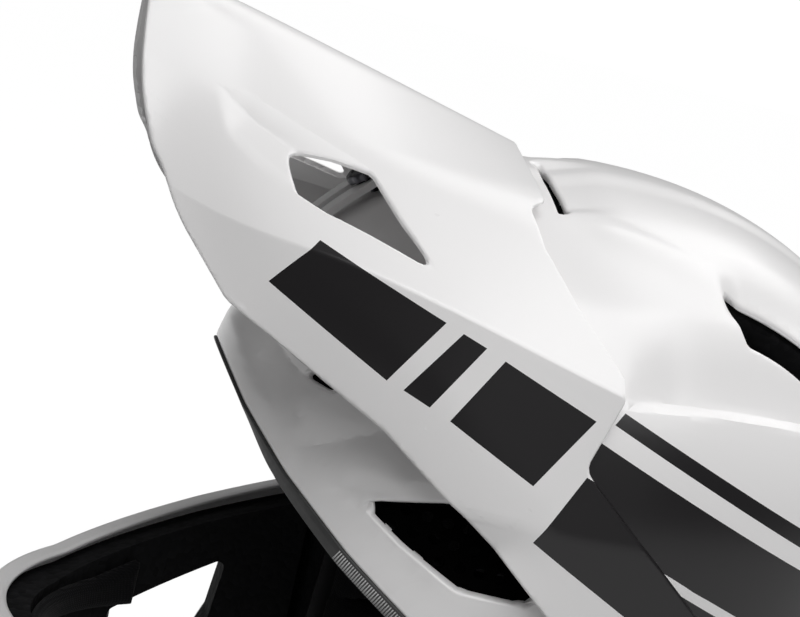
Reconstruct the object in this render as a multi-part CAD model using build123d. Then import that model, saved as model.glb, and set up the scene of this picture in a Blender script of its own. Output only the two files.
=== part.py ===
"""Full-face downhill bicycle helmet with a tilting peak.

Modelled about the dome: +X is the wearer's left, -Y the front, +Z up, and the lower rim
rests at height zero. Every piece is then moved back by frame_shift, so that the origin
lies under the middle of the whole helmet.
"""
from build123d import *
import math
import os

# Outer shell, for a head of 57 to 58 cm
shell_half_width = 118.0
shell_brow_reach = 135.0
shell_back_reach = 139.0
shell_equator = 150.0
crown_rise = 118.0
shell_wall = 3.0
base_tuck = 20.0
nape_tuck = 27.0
chin_reach = 195.0
chin_nose_height = 55.0
chin_rake = 10.6
chin_blend = 60.0
chin_ledge_width = 11.0
chin_base_rise = 6.0
nape_base_rise = 35.0
cut_overrun = 60.0

ledge_end_share = 0.6

# Rim trims
trim_lap = 5.0
trim_web = 1.5
trim_skin = 1.0
base_trim_height = 8.0

# Foam liners
liner_gap = 0.4
liner_thickness = 25.0
chin_liner_thickness = 14.6
liner_base_rise = 15.0
chin_liner_base_rise = 9.0
cheek_line = 62.0
piece_gap = 0.3

# Comfort pads
pad_thickness = 7.0
cheek_pad_thickness = 20.0
cheek_plate_thickness = 1.4
chin_pad_thickness = 5.0

# Peak
peak_tip_reach = 190.0
peak_tip_height = 303.0
peak_slope = 13.4
peak_wall = 2.5
peak_ridge_radius = 16.0
peak_crease_radius = 3.5
peak_knee_radius = 30.0
peak_middle_radius = 60.0
peak_foot_height = 90.0
peak_corner_radius = 5.0
peak_edge_radius = 8.0
peak_rear_floor = 190.0
arm_half_width = 19.7
arm_slope = 39.2
arm_round_share = 0.985

# Peak pivots and screws
pivot_y = 26.0
pivot_height = 115.0
pivot_face = 123.6
pivot_boss_radius = 11.0
screw_radius = 3.0
screw_clearance = 0.4
thread_clearance = 0.05
screw_length = 20.0
screw_head_radius = 10.0
screw_head_height = 4.2
screw_slot_width = 2.2
screw_slot_depth = 1.6
grip_notch_radius = 1.6
grip_notch_count = 10
nut_flange_radius = 9.0
nut_flange_thickness = 1.6
nut_barrel_radius = 5.0
nut_length = 10.0
nut_recess = 5.4
brace_nut_recess = 8.8

# Forehead brace of the peak
brace_radius = 174.6
brace_thickness = 2.5
brace_half_width = 11.0
brace_screw_angle = 47.0
brace_low_angle = 31.5
brace_high_angle = 60.0
brace_slot_half_width = 3.2
brace_travel = 12.0
brace_screw_head_radius = 8.0
brace_screw_head_height = 3.5
brace_screw_radius = 2.5
brace_screw_length = 17.0

# Vent screens
screen_thickness = 1.0
screen_lap = 4.0
screen_hole_radius = 1.9
screen_hole_pitch = 6.5
grille_thickness = 2.0
grille_bar = 3.0
grille_gap = 6.5

# Chin strap, its anchors and rings
strap_width = 25.0
strap_thickness = 2.0
strap_y = 24.0
strap_anchor_height = 62.0
anchor_plate_size = 30.0
anchor_plate_thickness = 1.2
rivet_radius = 3.5
rivet_head = 1.2
rivet_depth = 8.0
ring_wire_radius = 1.6
ring_inner_half_width = 14.0
ring_depth = 20.0
ring_corner_radius = 6.0
ring_top_radius_share = 1.5
ring_spacing = 4.4
ring_height = 31.0
strap_drop_in = 12.0
strap_bend_radius = 12.0
strap_free_end = 5.0
stud_radius = 5.5
stud_height = 1.5
floor_clearance = 0.4

# Curves of the shell: powers of its outlines, and the levels that the lofts go through
dome_power = 2.1
plan_power = 2.05
nape_power = 1.8
low_level_shares = (-0.1, 0.08, 0.25, 0.41, 0.55, 0.67, 0.79, 0.89, 1.0)
dome_level_shares = (0.25, 0.45, 0.62, 0.76, 0.87, 0.945, 0.985)
section_points = 16

nut_face = shell_half_width - shell_wall - nut_recess
brace_nut_face = brace_radius - brace_nut_recess
frame_shift = (chin_reach - shell_back_reach) / 2
crown_height = shell_equator + crown_rise
far = peak_tip_height + cut_overrun
liner_outside = shell_wall + liner_gap
liner_inside = liner_outside + liner_thickness
liner_setback = trim_lap + piece_gap

os.makedirs("parts", exist_ok=True)


def save(name, shape):
    """Move a finished piece into the part's frame and write it."""
    shape = shape.moved(Location((0, frame_shift, 0)))
    shape.label = name
    export_step(shape, f"parts/{name}.step")


def mirrored(shape):
    return mirror(shape, about=Plane.YZ)


def smooth_step(share):
    share = min(max(share, 0), 1)
    return share * share * (3 - 2 * share)


def shell_level(height, inset):
    """Half width, front reach and back reach of the skin at one height."""
    if height >= shell_equator:
        rise_share = (height - shell_equator) / (crown_rise - inset)
        share = max(1 - rise_share**dome_power, 0) ** (1 / dome_power)
        return [(reach - inset) * share for reach in (shell_half_width, shell_brow_reach, shell_back_reach)]
    drop_share = (shell_equator - height) / shell_equator
    chin_share = smooth_step((shell_equator - height) / chin_blend)
    chin = chin_reach - chin_rake * ((height - chin_nose_height) / chin_nose_height) ** 2
    width = shell_half_width - base_tuck * drop_share**2
    front = shell_brow_reach * (1 - chin_share) + chin * chin_share
    back = shell_back_reach - nape_tuck * drop_share**nape_power
    return [width - inset, front - inset, back - inset]


def skin_x(y, height, inset=0):
    """How far out the skin lies beside the middle plane, at one y and height."""
    width, front, back = shell_level(height, inset)
    reach = front if y < 0 else back
    return width * max(1 - (abs(y) / reach) ** plan_power, 0) ** (1 / plan_power)


def skin_section(height, inset):
    """One level outline: a superellipse whose front and back reach differ."""
    width, front, back = shell_level(height, inset)
    points = []
    for step in range(section_points):
        angle = 2 * math.pi * step / section_points
        side, ahead = math.sin(angle), math.cos(angle)
        x = width * math.copysign(abs(side) ** (2 / plan_power), side)
        y = (-front if ahead > 0 else back) * abs(ahead) ** (2 / plan_power)
        points.append((x, y, height))
    return Wire([Spline(*points, periodic=True)])


made_skins = {}


def skin(inset):
    """The solid inside the helmet's outer skin, moved in by inset all over."""
    if inset not in made_skins:
        heights = [shell_equator * share for share in low_level_shares]
        heights += [shell_equator + (crown_rise - inset) * share for share in dome_level_shares]
        sections = [skin_section(height, inset) for height in heights]
        made_skins[inset] = Solid.make_loft([*sections, Vertex(0, 0, crown_height - inset)])
    return made_skins[inset]


def side_prism(points, radius=0, low=None, high=None, grow=0):
    """An outline in the side view, run across the helmet from low to high."""
    low = -far if low is None else low
    high = far if high is None else high
    outline = FilletPolyline(*points, radius=radius, close=True) if radius else Polyline(*points, close=True)
    face = make_face(outline)
    if grow:
        face = offset(face, grow)
    return extrude(Plane.YZ.offset(low) * face, high - low)


def top_prism(points, radius, low, high):
    """An outline in the top view, run upwards from low to high."""
    outline = FilletPolyline(*points, radius=radius, close=True)
    return extrude(Plane.XY.offset(low) * make_face(outline), high - low)


def front_prism(points, radius, low, high, grow=0):
    """An outline seen from the front, as x and height, run from y low to y high."""
    outline = FilletPolyline(*points, radius=radius, close=True)
    face = make_face(outline)
    if grow:
        face = offset(face, grow)
    return extrude(Plane.XZ.offset(-high) * face, high - low)


def block(x_low, x_high, y_low, y_high, z_low, z_high):
    size = (x_high - x_low, y_high - y_low, z_high - z_low)
    middle = ((x_low + x_high) / 2, (y_low + y_high) / 2, (z_low + z_high) / 2)
    return Location(middle) * Box(*size)


def across(radius, x_low, x_high, y=None, height=None):
    """A round bar or bore along X, at the peak's pivot unless a place is given."""
    y = pivot_y if y is None else y
    height = pivot_height if height is None else height
    place = Plane(origin=((x_low + x_high) / 2, y, height), z_dir=(1, 0, 0))
    return place * Cylinder(radius, x_high - x_low)


def scaled(shares, *sizes):
    """Points from a table of shares, each column times its own size."""
    return [tuple(share * size for share, size in zip(row, sizes)) for row in shares]


# Eye port, as shares of the brow's reach and of the equator's height, in the side view
eye_port_shares = (
    (-1.9, 1.24), (-1.02, 1.18), (-0.94, 1.085), (-0.83, 0.99), (-0.67, 0.885),
    (-0.4, 0.735), (-0.46, 0.645), (-0.82, 0.547), (-1.25, 0.421), (-1.9, 0.373),
)
eye_port_radius = 9.0
eye_port_corner_height = shell_equator * eye_port_shares[6][1]


def eye_port(grow=0):
    return side_prism(scaled(eye_port_shares, shell_brow_reach, shell_equator), eye_port_radius, grow=grow)


def under_base(rise):
    """Everything below the helmet's lower rim, moved up by rise."""
    return side_prism([
        (-far, chin_base_rise + rise),
        (-chin_reach, chin_base_rise + rise),
        (-shell_brow_reach, rise),
        (shell_back_reach / 2, rise),
        (shell_back_reach, nape_base_rise + rise),
        (far, nape_base_rise + rise),
        (far, -far),
        (-far, -far),
    ])


# Vents, as shares of the brow's reach and of the equator's height in the side view
brow_vent_shares = (
    (-0.675, 1.003), (-0.49, 1.063), (-0.3, 1.1), (-0.22, 1.06), (-0.24, 0.893), (-0.41, 0.887),
    (-0.56, 0.945),
)
chin_vent_shares = (
    (-1.05, 0.275), (-0.7, 0.42), (-0.722, 0.25), (-0.785, 0.13), (-1.043, 0.112),
)
vent_radius = 3.0
brow_vent_points = scaled(brow_vent_shares, shell_brow_reach, shell_equator)
chin_vent_points = scaled(chin_vent_shares, shell_brow_reach, shell_equator)

# Vents seen from above, as shares of the half width and of the brow's reach
crown_slit_shares = ((0.05, -0.288), (0.41, -0.275), (0.41, -0.249), (0.05, -0.262))
crown_side_shares = ((0.61, 0.14), (0.733, 0.21), (0.708, 0.62), (0.58, 0.66))

# Vents seen from the front or the back, as shares of the half width and of the equator's height
brow_slot_shares = ((0.5, 1.23), (0.6, 1.224), (0.6, 1.204), (0.5, 1.21))
mouth_vent_shares = ((-0.4, 0.27), (0.4, 0.27), (0.33, 0.12), (-0.33, 0.12))
rear_upper_shares = ((0.12, 1.3), (0.5, 1.24), (0.46, 1.1), (0.12, 1.16))
rear_lower_shares = ((0.12, 0.82), (0.46, 0.86), (0.42, 0.72), (0.12, 0.69))
slot_radius = 1.2

# Pads, as shares of the half width and of the brow's reach seen from above
crown_pad_shares = (
    (-0.62, -0.5), (-0.2, -0.62), (0.2, -0.62), (0.62, -0.5), (0.66, 0.45), (0.22, 0.62),
    (-0.22, 0.62), (-0.66, 0.45),
)
crown_window_shares = ((0.15, -0.42), (0.42, -0.38), (0.46, 0.32), (0.15, 0.42))
brow_pad_shares = ((-0.62, 1.24), (0.62, 1.24), (0.62, 1.44), (0.3, 1.56), (-0.3, 1.56), (-0.62, 1.44))
nape_pad_shares = ((-0.5, 0.42), (0.5, 0.42), (0.6, 0.62), (0.44, 0.8), (-0.44, 0.8), (-0.6, 0.62))
cheek_pad_shares = (
    (-0.46, 0.27), (-0.43, 0.6), (-0.3, 0.76), (-0.12, 0.8), (0.03, 0.66), (0.05, 0.3), (-0.1, 0.16),
    (-0.36, 0.16),
)
pad_corner_radius = 6.0
cheek_pad_radius = 9.0
cheek_plate_inset = 5.0
neck_roll_inset = 1.5
neck_roll_rise = 1.8
grille_recess = 2.0
grille_reach_share = 0.8

# Peak stations from the tip back: reach as a share of the tip's reach, the crease's place
# beside and up, the places of the knee and the foot of the flank beside, and the roof's arch
peak_station_shares = (
    (1.08, 0.34, 0.812, 0.637, 0.85, 0.012),
    (0.947, 0.49, 0.787, 0.757, 0.92, 0.013),
    (0.79, 0.645, 0.762, 0.863, 0.98, 0.016),
    (0.605, 0.755, 0.752, 0.931, 1.02, 0.021),
    (0.395, 0.843, 0.73, 0.983, 1.04, 0.037),
    (0.158, 0.932, 0.696, 1.026, 1.045, 0.068),
    (-0.08, 0.99, 0.665, 1.045, 1.045, 0.07),
    (-0.32, 1.0, 0.635, 1.046, 1.045, 0.07),
)
peak_knee_share = 1.08
roof_middle_share = 0.55
# Outlines of the peak as shares of the tip's reach and height in the side view
peak_lower_shares = (
    (-1.12, 1.1), (-1.12, 0.81), (-0.931, 0.787), (-0.865, 0.738), (-0.786, 0.684), (-0.693, 0.658),
    (-0.49, 0.597), (-0.262, 0.501),
)
peak_upper_shares = ((-0.142, 0.605), (-0.1, 0.681), (-0.1, 1.1))
# and as shares of the half width and of the tip's reach from above: the outline with its
# leading edge, what is cut away behind the roof, and the vent
peak_plan_shares = ((1.3, 0.4), (1.3, -0.8), (0.51, -0.931), (0.39, -0.976), (0.29, -0.991), (0.14, -0.998))
peak_rear_shares = (
    (0.46, -0.235), (0.5, -0.268), (0.62, -0.243), (0.755, -0.184), (0.92, -0.09), (0.92, 0.5),
)
peak_vent_shares = (
    (0.477, -0.712), (0.495, -0.63), (0.515, -0.562), (0.612, -0.508), (0.748, -0.438),
    (0.678, -0.546), (0.621, -0.638), (0.577, -0.692),
)


def brow_vent(low, grow=0):
    return side_prism(brow_vent_points, vent_radius, low, far, grow)


def chin_vent(grow=0):
    return side_prism(chin_vent_points, vent_radius, grow=grow)


def crown_slit():
    points = scaled(crown_slit_shares, shell_half_width, shell_brow_reach)
    return top_prism(points, slot_radius, crown_height - liner_thickness, far)


def crown_side_vent():
    points = scaled(crown_side_shares, shell_half_width, shell_brow_reach)
    return top_prism(points, vent_radius, shell_equator + crown_rise / 2, far)


def brow_slot():
    points = scaled(brow_slot_shares, shell_half_width, shell_equator)
    return front_prism(points, slot_radius, -far, -shell_brow_reach / 2)


def mouth_vent(grow=0):
    points = scaled(mouth_vent_shares, shell_half_width, shell_equator)
    return front_prism(points, vent_radius, -far, -shell_brow_reach, grow)


def rear_vent(shares, grow=0):
    points = scaled(shares, shell_half_width, shell_equator)
    return front_prism(points, vent_radius, shell_back_reach / 2, far, grow)


def both_sides(shape):
    return [shape, mirrored(shape)]


brace_plane = Plane(
    origin=(0, pivot_y, pivot_height),
    z_dir=(0, -math.cos(math.radians(brace_screw_angle)), math.sin(math.radians(brace_screw_angle))),
)


def along_brace(radius, low, high):
    """A round bar or bore along the forehead screw, from one distance from the pivot to another."""
    return brace_plane * Pos(0, 0, (low + high) / 2) * Cylinder(radius, high - low)


# Through holes that the shell and the liners share
rear_vent_cuts = [
    *both_sides(rear_vent(rear_upper_shares)),
    *both_sides(rear_vent(rear_lower_shares)),
]
brow_vent_cuts = both_sides(brow_vent(shell_half_width / 2))
crown_cuts = [*both_sides(crown_slit()), *both_sides(crown_side_vent()), *both_sides(brow_slot())]

# Outer shell, with its chin bar rolled in along the eye port
chin_ledge = skin(0) & eye_port(shell_wall) & block(
    -far, far, -far, -shell_brow_reach * ledge_end_share, 0, eye_port_corner_height
)
chin_ledge -= [skin(chin_ledge_width), eye_port()]
pivot_bores = both_sides(across(screw_radius + screw_clearance, shell_half_width / 2, far))
brace_bore = along_brace(brace_screw_radius + screw_clearance, brace_radius / 2, brace_radius)
vent_cuts = [*rear_vent_cuts, *brow_vent_cuts, *crown_cuts, chin_vent(), mouth_vent()]
outer_shell = skin(0) - [skin(shell_wall), eye_port(), under_base(trim_web), *vent_cuts, brace_bore]
outer_shell += chin_ledge
boss_face = pivot_face - 2 * piece_gap - peak_wall
pivot_boss = across(pivot_boss_radius, shell_half_width / 2, boss_face) - skin(shell_wall)
outer_shell += both_sides(pivot_boss)
outer_shell -= pivot_bores
save("outer_shell", outer_shell)

# Rubber trims that lap over the shell's edges
trim_skin_in = shell_wall + trim_skin
eye_port_trim = (skin(-trim_skin) & eye_port(trim_lap)) - [
    skin(trim_skin_in),
    eye_port(-trim_web),
    block(-far, far, -far, far, -far, eye_port_corner_height),
]
eye_port_trim -= outer_shell
save("eye_port_trim", eye_port_trim)
base_trim = skin(-trim_skin) - [skin(trim_skin_in), under_base(0)]
base_trim &= under_base(base_trim_height)
base_trim -= outer_shell
save("base_trim", base_trim)

# Foam liners
cheek_split = block(-far, far, -far, -cheek_line, -far, eye_port_corner_height)
nut_pockets = both_sides(
    across(nut_flange_radius + piece_gap, nut_face - nut_flange_thickness - piece_gap, far)
    + across(nut_barrel_radius + piece_gap, nut_face - nut_length - piece_gap, nut_face)
)
brace_pocket = along_brace(
    nut_flange_radius + piece_gap, brace_nut_face - nut_flange_thickness - piece_gap, far
)
brace_pocket += along_brace(
    nut_barrel_radius + piece_gap, brace_nut_face - nut_length - piece_gap, brace_nut_face
)
screen_outside = liner_outside + piece_gap
screen_inside = screen_outside + screen_thickness
brow_screen_pockets = [
    pocket - skin(screen_inside + piece_gap)
    for pocket in both_sides(brow_vent(shell_half_width / 2, screen_lap + piece_gap))
]
rivet_end_x = skin_x(strap_y, strap_anchor_height, liner_inside) + rivet_depth
rivet_bores = both_sides(across(
    rivet_radius + piece_gap / 2, 0, rivet_end_x + piece_gap, strap_y, strap_anchor_height
))
impact_liner = skin(liner_outside) - [
    skin(liner_inside),
    eye_port(liner_setback),
    under_base(liner_base_rise),
    cheek_split,
    *vent_cuts[:-2],
    *nut_pockets,
    brace_pocket,
    *brow_screen_pockets,
    *rivet_bores,
]
save("impact_liner", impact_liner)
chin_split = block(-far, far, -far, -cheek_line - piece_gap, -far, eye_port_corner_height)
chin_bar_liner = (skin(liner_outside) & chin_split) - [
    skin(liner_outside + chin_liner_thickness),
    eye_port(liner_setback),
    under_base(chin_liner_base_rise),
    chin_vent(),
    mouth_vent(),
]
save("chin_bar_liner", chin_bar_liner)


# Comfort pads: slices of the space inside the foam
pad_outside = liner_inside + piece_gap


def pad(region, outside, thickness, cuts=()):
    return (skin(outside) & region) - [skin(outside + thickness), *cuts]


crown_pad_base = shell_equator + crown_rise / 2
crown_pad_region = top_prism(
    scaled(crown_pad_shares, shell_half_width, shell_brow_reach), pad_corner_radius, crown_pad_base, far
)
crown_pad_windows = both_sides(top_prism(
    scaled(crown_window_shares, shell_half_width, shell_brow_reach), pad_corner_radius, shell_equator, far
))
save("crown_pad", pad(crown_pad_region, pad_outside, pad_thickness, crown_pad_windows))
brow_pad_region = front_prism(
    scaled(brow_pad_shares, shell_half_width, shell_equator), pad_corner_radius, -far, -shell_brow_reach / 4
)
save("brow_pad", pad(brow_pad_region, pad_outside, pad_thickness, [crown_pad_region]))
nape_pad_region = front_prism(
    scaled(nape_pad_shares, shell_half_width, shell_equator), pad_corner_radius, shell_back_reach / 3, far
)
save("nape_pad", pad(nape_pad_region, pad_outside, pad_thickness))
cheek_points = scaled(cheek_pad_shares, shell_brow_reach, shell_equator)
cheek_plate = pad(
    side_prism(cheek_points, cheek_pad_radius, 0, far, -cheek_plate_inset), pad_outside, cheek_plate_thickness
)
cheek_pad = pad(
    side_prism(cheek_points, cheek_pad_radius, 0, far),
    pad_outside + cheek_plate_thickness + piece_gap,
    cheek_pad_thickness,
)
save("cheek_plate_left", cheek_plate)
save("cheek_plate_right", mirrored(cheek_plate))
save("cheek_pad_left", cheek_pad)
save("cheek_pad_right", mirrored(cheek_pad))
neck_roll = (skin(liner_outside + neck_roll_inset) & under_base(liner_base_rise - piece_gap)) - [
    skin(liner_inside + pad_thickness),
    under_base(neck_roll_rise),
    block(-far, far, -far, strap_y + strap_width, -far, far),
]
save("neck_roll", neck_roll)
chin_pad_outside = liner_outside + chin_liner_thickness + piece_gap
chin_pad_end = shell_brow_reach * chin_vent_shares[0][0] - pad_thickness
chin_pad_base = shell_equator * mouth_vent_shares[0][1] + pad_thickness / 2
chin_bar_pad = (skin(chin_pad_outside) & block(-far, far, -far, chin_pad_end, chin_pad_base, far)) - [
    skin(chin_pad_outside + chin_pad_thickness),
    eye_port(liner_setback + piece_gap),
]
save("chin_bar_pad", chin_bar_pad)


# Screens behind the vents
def hole_grid(low_y, high_y, low_z, high_z, length):
    """Round bars along X in staggered rows, to pierce a screen."""
    rows = int((high_z - low_z) / screen_hole_pitch)
    columns = int((high_y - low_y) / screen_hole_pitch)
    bars = []
    for row in range(rows + 1):
        for column in range(columns + 1):
            y = low_y + (column + (row % 2) / 2) * screen_hole_pitch
            bars.append(across(screen_hole_radius, 0, length, y, low_z + row * screen_hole_pitch))
    return bars


brow_vent_y = [y for y, z in brow_vent_points]
brow_vent_z = [z for y, z in brow_vent_points]
screen_cut = Compound(children=hole_grid(
    min(brow_vent_y) + screen_hole_pitch, max(brow_vent_y), min(brow_vent_z), max(brow_vent_z), far
)) & brow_vent(0)
brow_screen = pad(brow_vent(0, screen_lap), screen_outside, screen_thickness, screen_cut.solids())
save("brow_screen_left", brow_screen)
save("brow_screen_right", mirrored(brow_screen))

# Grille inside the mouth vent
grille_outside = liner_outside + grille_recess
mouth_points = scaled(mouth_vent_shares, shell_half_width, shell_equator)
mouth_low = min(z for x, z in mouth_points)
mouth_high = max(z for x, z in mouth_points)
mouth_reach = max(x for x, z in mouth_points)
grille_cuts = []
slot_low = mouth_low + grille_bar
while slot_low + grille_gap < mouth_high:
    slot_high = slot_low + grille_gap
    grille_cuts.append(block(grille_bar, mouth_reach * grille_reach_share, -far, 0, slot_low, slot_high))
    grille_cuts.append(mirrored(grille_cuts[-1]))
    slot_low += grille_gap + grille_bar
mouth_grille = pad(mouth_vent(-piece_gap), grille_outside, grille_thickness, grille_cuts)
save("mouth_grille", mouth_grille)


# Peak: a roof with a ridge, a crease each side and flanks that run back as arms
def peak_section(station, sink):
    """The peak's outline across the helmet at one station, moved in by sink."""
    y_share, crease_x_share, crease_z_share, knee_share, foot_share, arch_share = station
    y = -peak_tip_reach * y_share
    crease_x, crease_z = shell_half_width * crease_x_share, peak_tip_height * crease_z_share
    ridge_z = peak_tip_height - (peak_tip_reach + y) * math.tan(math.radians(peak_slope))
    middle_x = crease_x * roof_middle_share
    middle_z = ridge_z + (crease_z - ridge_z) * roof_middle_share + peak_tip_height * arch_share
    ridge_slope = math.atan((ridge_z - middle_z) / middle_x)
    apex_z = ridge_z + peak_ridge_radius * (1 / math.cos(ridge_slope) - 1)
    right = [
        (shell_half_width * foot_share, peak_foot_height),
        (shell_half_width * knee_share, shell_equator * peak_knee_share),
        (crease_x, crease_z),
        (middle_x, middle_z),
    ]
    corners = [*right, (0, apex_z), *[(-x, z) for x, z in reversed(right)]]
    radii = [0, peak_knee_radius, peak_crease_radius, peak_middle_radius]
    radii = [*radii, peak_ridge_radius, *reversed(radii)]
    if sink:
        corners = inset_line(corners, sink)
        radii = [max(radius - sink, peak_wall / 2) if radius else 0 for radius in radii]
    outline = FilletPolyline(*corners, radius=radii, close=True)
    return Plane.XZ.offset(-y) * Wire(outline.edges())


def inset_line(points, depth):
    """The same open line of corners, moved inwards by depth along mitres."""
    moved = []
    for index, (x, z) in enumerate(points):
        before = points[max(index - 1, 0)]
        after = points[min(index + 1, len(points) - 1)]
        normals = []
        for (x0, z0), (x1, z1) in ((before, (x, z)), ((x, z), after)):
            length = math.hypot(x1 - x0, z1 - z0)
            if length:
                normals.append(((z0 - z1) / length, (x1 - x0) / length))
        first, last = normals[0], normals[-1]
        dot = first[0] * last[0] + first[1] * last[1]
        moved.append((
            x + depth * (first[0] + last[0]) / (1 + dot),
            z + depth * (first[1] + last[1]) / (1 + dot),
        ))
    return moved


arm_angle = math.radians(arm_slope)
arm_along = (math.cos(arm_angle), -math.sin(arm_angle))
arm_up = (math.sin(arm_angle), math.cos(arm_angle))


def arm_point(along, up):
    """A point of the arm in the side view, from its pivot."""
    return (
        pivot_y + along * arm_along[0] + up * arm_up[0],
        pivot_height + along * arm_along[1] + up * arm_up[1],
    )


arm_end_radius = arm_half_width * arm_round_share
peak_side_points = [
    *scaled(peak_lower_shares, peak_tip_reach, peak_tip_height),
    arm_point(arm_half_width, -arm_half_width),
    arm_point(arm_half_width, arm_half_width),
    *scaled(peak_upper_shares, peak_tip_reach, peak_tip_height),
]
peak_side_radii = [
    *[peak_edge_radius] * len(peak_lower_shares),
    arm_end_radius,
    arm_end_radius,
    *[peak_corner_radius] * len(peak_upper_shares),
]
peak_plan_points = scaled(peak_plan_shares, shell_half_width, peak_tip_reach)
peak_plan_points += [(-x, y) for x, y in reversed(peak_plan_points)]
peak_rear_points = scaled(peak_rear_shares, shell_half_width, peak_tip_reach)
peak_rear_points += [(-x, y) for x, y in reversed(peak_rear_points)]
peak_vent_points = scaled(peak_vent_shares, shell_half_width, peak_tip_reach)


def brace_wedge(low_angle, high_angle, reach, half_width):
    """A slice about the pivot's axis, between two angles above straight ahead."""
    corners = [(pivot_y, pivot_height)]
    for angle in (math.radians(low_angle), math.radians(high_angle)):
        corners.append((pivot_y - reach * math.cos(angle), pivot_height + reach * math.sin(angle)))
    return side_prism(corners, 0, -half_width, half_width)


brace_top = brace_radius + brace_thickness
brace_ring = across(brace_top, -brace_half_width, brace_half_width)
brace_ring -= across(brace_radius, -brace_half_width, brace_half_width)
brace_tab = brace_ring & brace_wedge(brace_low_angle, brace_high_angle, 2 * brace_top, brace_half_width)
slot_margin = math.degrees((brace_screw_radius + screw_clearance) / brace_radius)
brace_slot = brace_wedge(
    brace_screw_angle - brace_travel - slot_margin,
    brace_screw_angle + slot_margin,
    2 * brace_top,
    brace_slot_half_width,
)

peak_loft = Solid.make_loft([peak_section(station, 0) for station in peak_station_shares])
peak_loft -= [
    Solid.make_loft([peak_section(station, peak_wall) for station in peak_station_shares]),
    top_prism(peak_rear_points, peak_corner_radius, peak_rear_floor, far),
    *both_sides(top_prism(peak_vent_points, vent_radius, shell_equator, far)),
]
peak_outline = make_face(FilletPolyline(*peak_side_points, radius=peak_side_radii, close=True))
peak = peak_loft & extrude(Plane.YZ * peak_outline, far, both=True)
peak &= top_prism(peak_plan_points, peak_edge_radius, 0, far)
peak += brace_tab - brace_slot
peak -= both_sides(across(screw_radius + screw_clearance, shell_half_width / 2, far))
save("peak", peak)


# Screws and the nuts that they turn in
def screw(head_radius, head_height, shank_radius, length):
    """A screw along +Z with its head's underside at zero: a slotted head with finger notches."""
    head = Pos(0, 0, head_height / 2) * Cylinder(head_radius, head_height)
    head = chamfer(head.edges().group_by(Axis.Z)[-1], head_height / 4)
    notches = PolarLocations(head_radius, grip_notch_count) * Cylinder(grip_notch_radius, 2 * far)
    coin_slot = Pos(0, 0, head_height) * Box(2 * head_radius, screw_slot_width, 2 * screw_slot_depth)
    shank = Pos(0, 0, -length / 2) * Cylinder(shank_radius, length)
    return head - [*notches, coin_slot] + shank


def nut(flange_radius, barrel_radius, bore_radius, length):
    """A flanged nut along +Z with the top of its flange at zero."""
    flange = Pos(0, 0, -nut_flange_thickness / 2) * Cylinder(flange_radius, nut_flange_thickness)
    barrel = Pos(0, 0, -length / 2) * Cylinder(barrel_radius, length)
    return flange + barrel - Cylinder(bore_radius, 2 * length)


pivot_plane = Plane(origin=(0, pivot_y, pivot_height), x_dir=(0, 0, 1), z_dir=(1, 0, 0))
peak_screw = pivot_plane.offset(pivot_face) * screw(
    screw_head_radius, screw_head_height, screw_radius, screw_length
)
peak_nut = pivot_plane.offset(nut_face) * nut(
    nut_flange_radius, nut_barrel_radius, screw_radius + thread_clearance, nut_length
)
save("peak_screw_left", peak_screw)
save("peak_screw_right", mirrored(peak_screw))
save("peak_nut_left", peak_nut)
save("peak_nut_right", mirrored(peak_nut))
save("peak_brace_screw", brace_plane.offset(brace_top + piece_gap) * screw(
    brace_screw_head_radius, brace_screw_head_height, brace_screw_radius, brace_screw_length
))
save("brace_nut", brace_plane.offset(brace_nut_face) * nut(
    nut_flange_radius, nut_barrel_radius, brace_screw_radius + thread_clearance, nut_length
))


# Chin strap: two straps hang from anchors inside the foam, one with rings and one with a stud
strap_outside = liner_inside + anchor_plate_thickness + 2 * piece_gap


def ribbon(path, radii):
    """A flat strap as wide as the webbing, its face along a path of x and height."""
    far_side = inset_line(path, -strap_thickness)
    far_radii = []
    for before, here, after, radius in zip(path, path[1:], path[2:], radii):
        turn = (here[0] - before[0]) * (after[1] - here[1]) - (here[1] - before[1]) * (after[0] - here[0])
        far_radii.append(radius + math.copysign(strap_thickness, turn))
    outline = FilletPolyline(
        *path,
        *reversed(far_side),
        radius=[0, *radii, 0, 0, *reversed(far_radii), 0],
        close=True,
    )
    return extrude(Plane.XZ.offset(-strap_y) * make_face(outline), strap_width / 2, both=True)


def strap_wall(height):
    """A strap's outer face at one height, where its rear edge lies along the foam."""
    return (skin_x(strap_y + strap_width / 2, height, strap_outside), height)


def disc(radius, thickness, x, height, lean):
    """A round stud on a strap that leans by so many degrees from lying flat."""
    place = Plane(origin=(x, strap_y, height), x_dir=(0, 1, 0), z_dir=(
        -math.sin(math.radians(lean)), 0, math.cos(math.radians(lean))
    ))
    return place * Pos(0, 0, thickness / 2) * Cylinder(radius, thickness)


strap_top = strap_anchor_height + anchor_plate_size / 2
bar_radius = ring_wire_radius + thread_clearance
loop_radius = bar_radius + strap_thickness
loop_x = skin_x(strap_y, ring_height, strap_outside) - strap_drop_in
rings_x = (loop_x, loop_x - ring_spacing)
strap_left = ribbon(
    [
        strap_wall(strap_top),
        strap_wall(ring_height + loop_radius * 2),
        (loop_x, ring_height + loop_radius - strap_thickness),
    ],
    [strap_bend_radius],
)
loop = Plane.XZ.offset(-strap_y) * Pos((rings_x[0] + rings_x[1]) / 2, ring_height) * SlotCenterToCenter(
    ring_spacing, 2 * loop_radius
)
strap_left += extrude(loop, strap_width / 2, both=True)
ring_bores = [
    Plane(origin=(x, strap_y, ring_height), z_dir=(0, 1, 0)) * Cylinder(bar_radius, 2 * strap_width)
    for x in rings_x
]
strap_left -= [*ring_bores, *rivet_bores]
save("strap_left", strap_left)
strap_right = ribbon(
    [
        strap_wall(strap_top),
        strap_wall(ring_height),
        (loop_x, floor_clearance),
        (-strap_free_end, floor_clearance),
    ],
    [strap_bend_radius, strap_bend_radius],
)
strap_right -= rivet_bores
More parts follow.
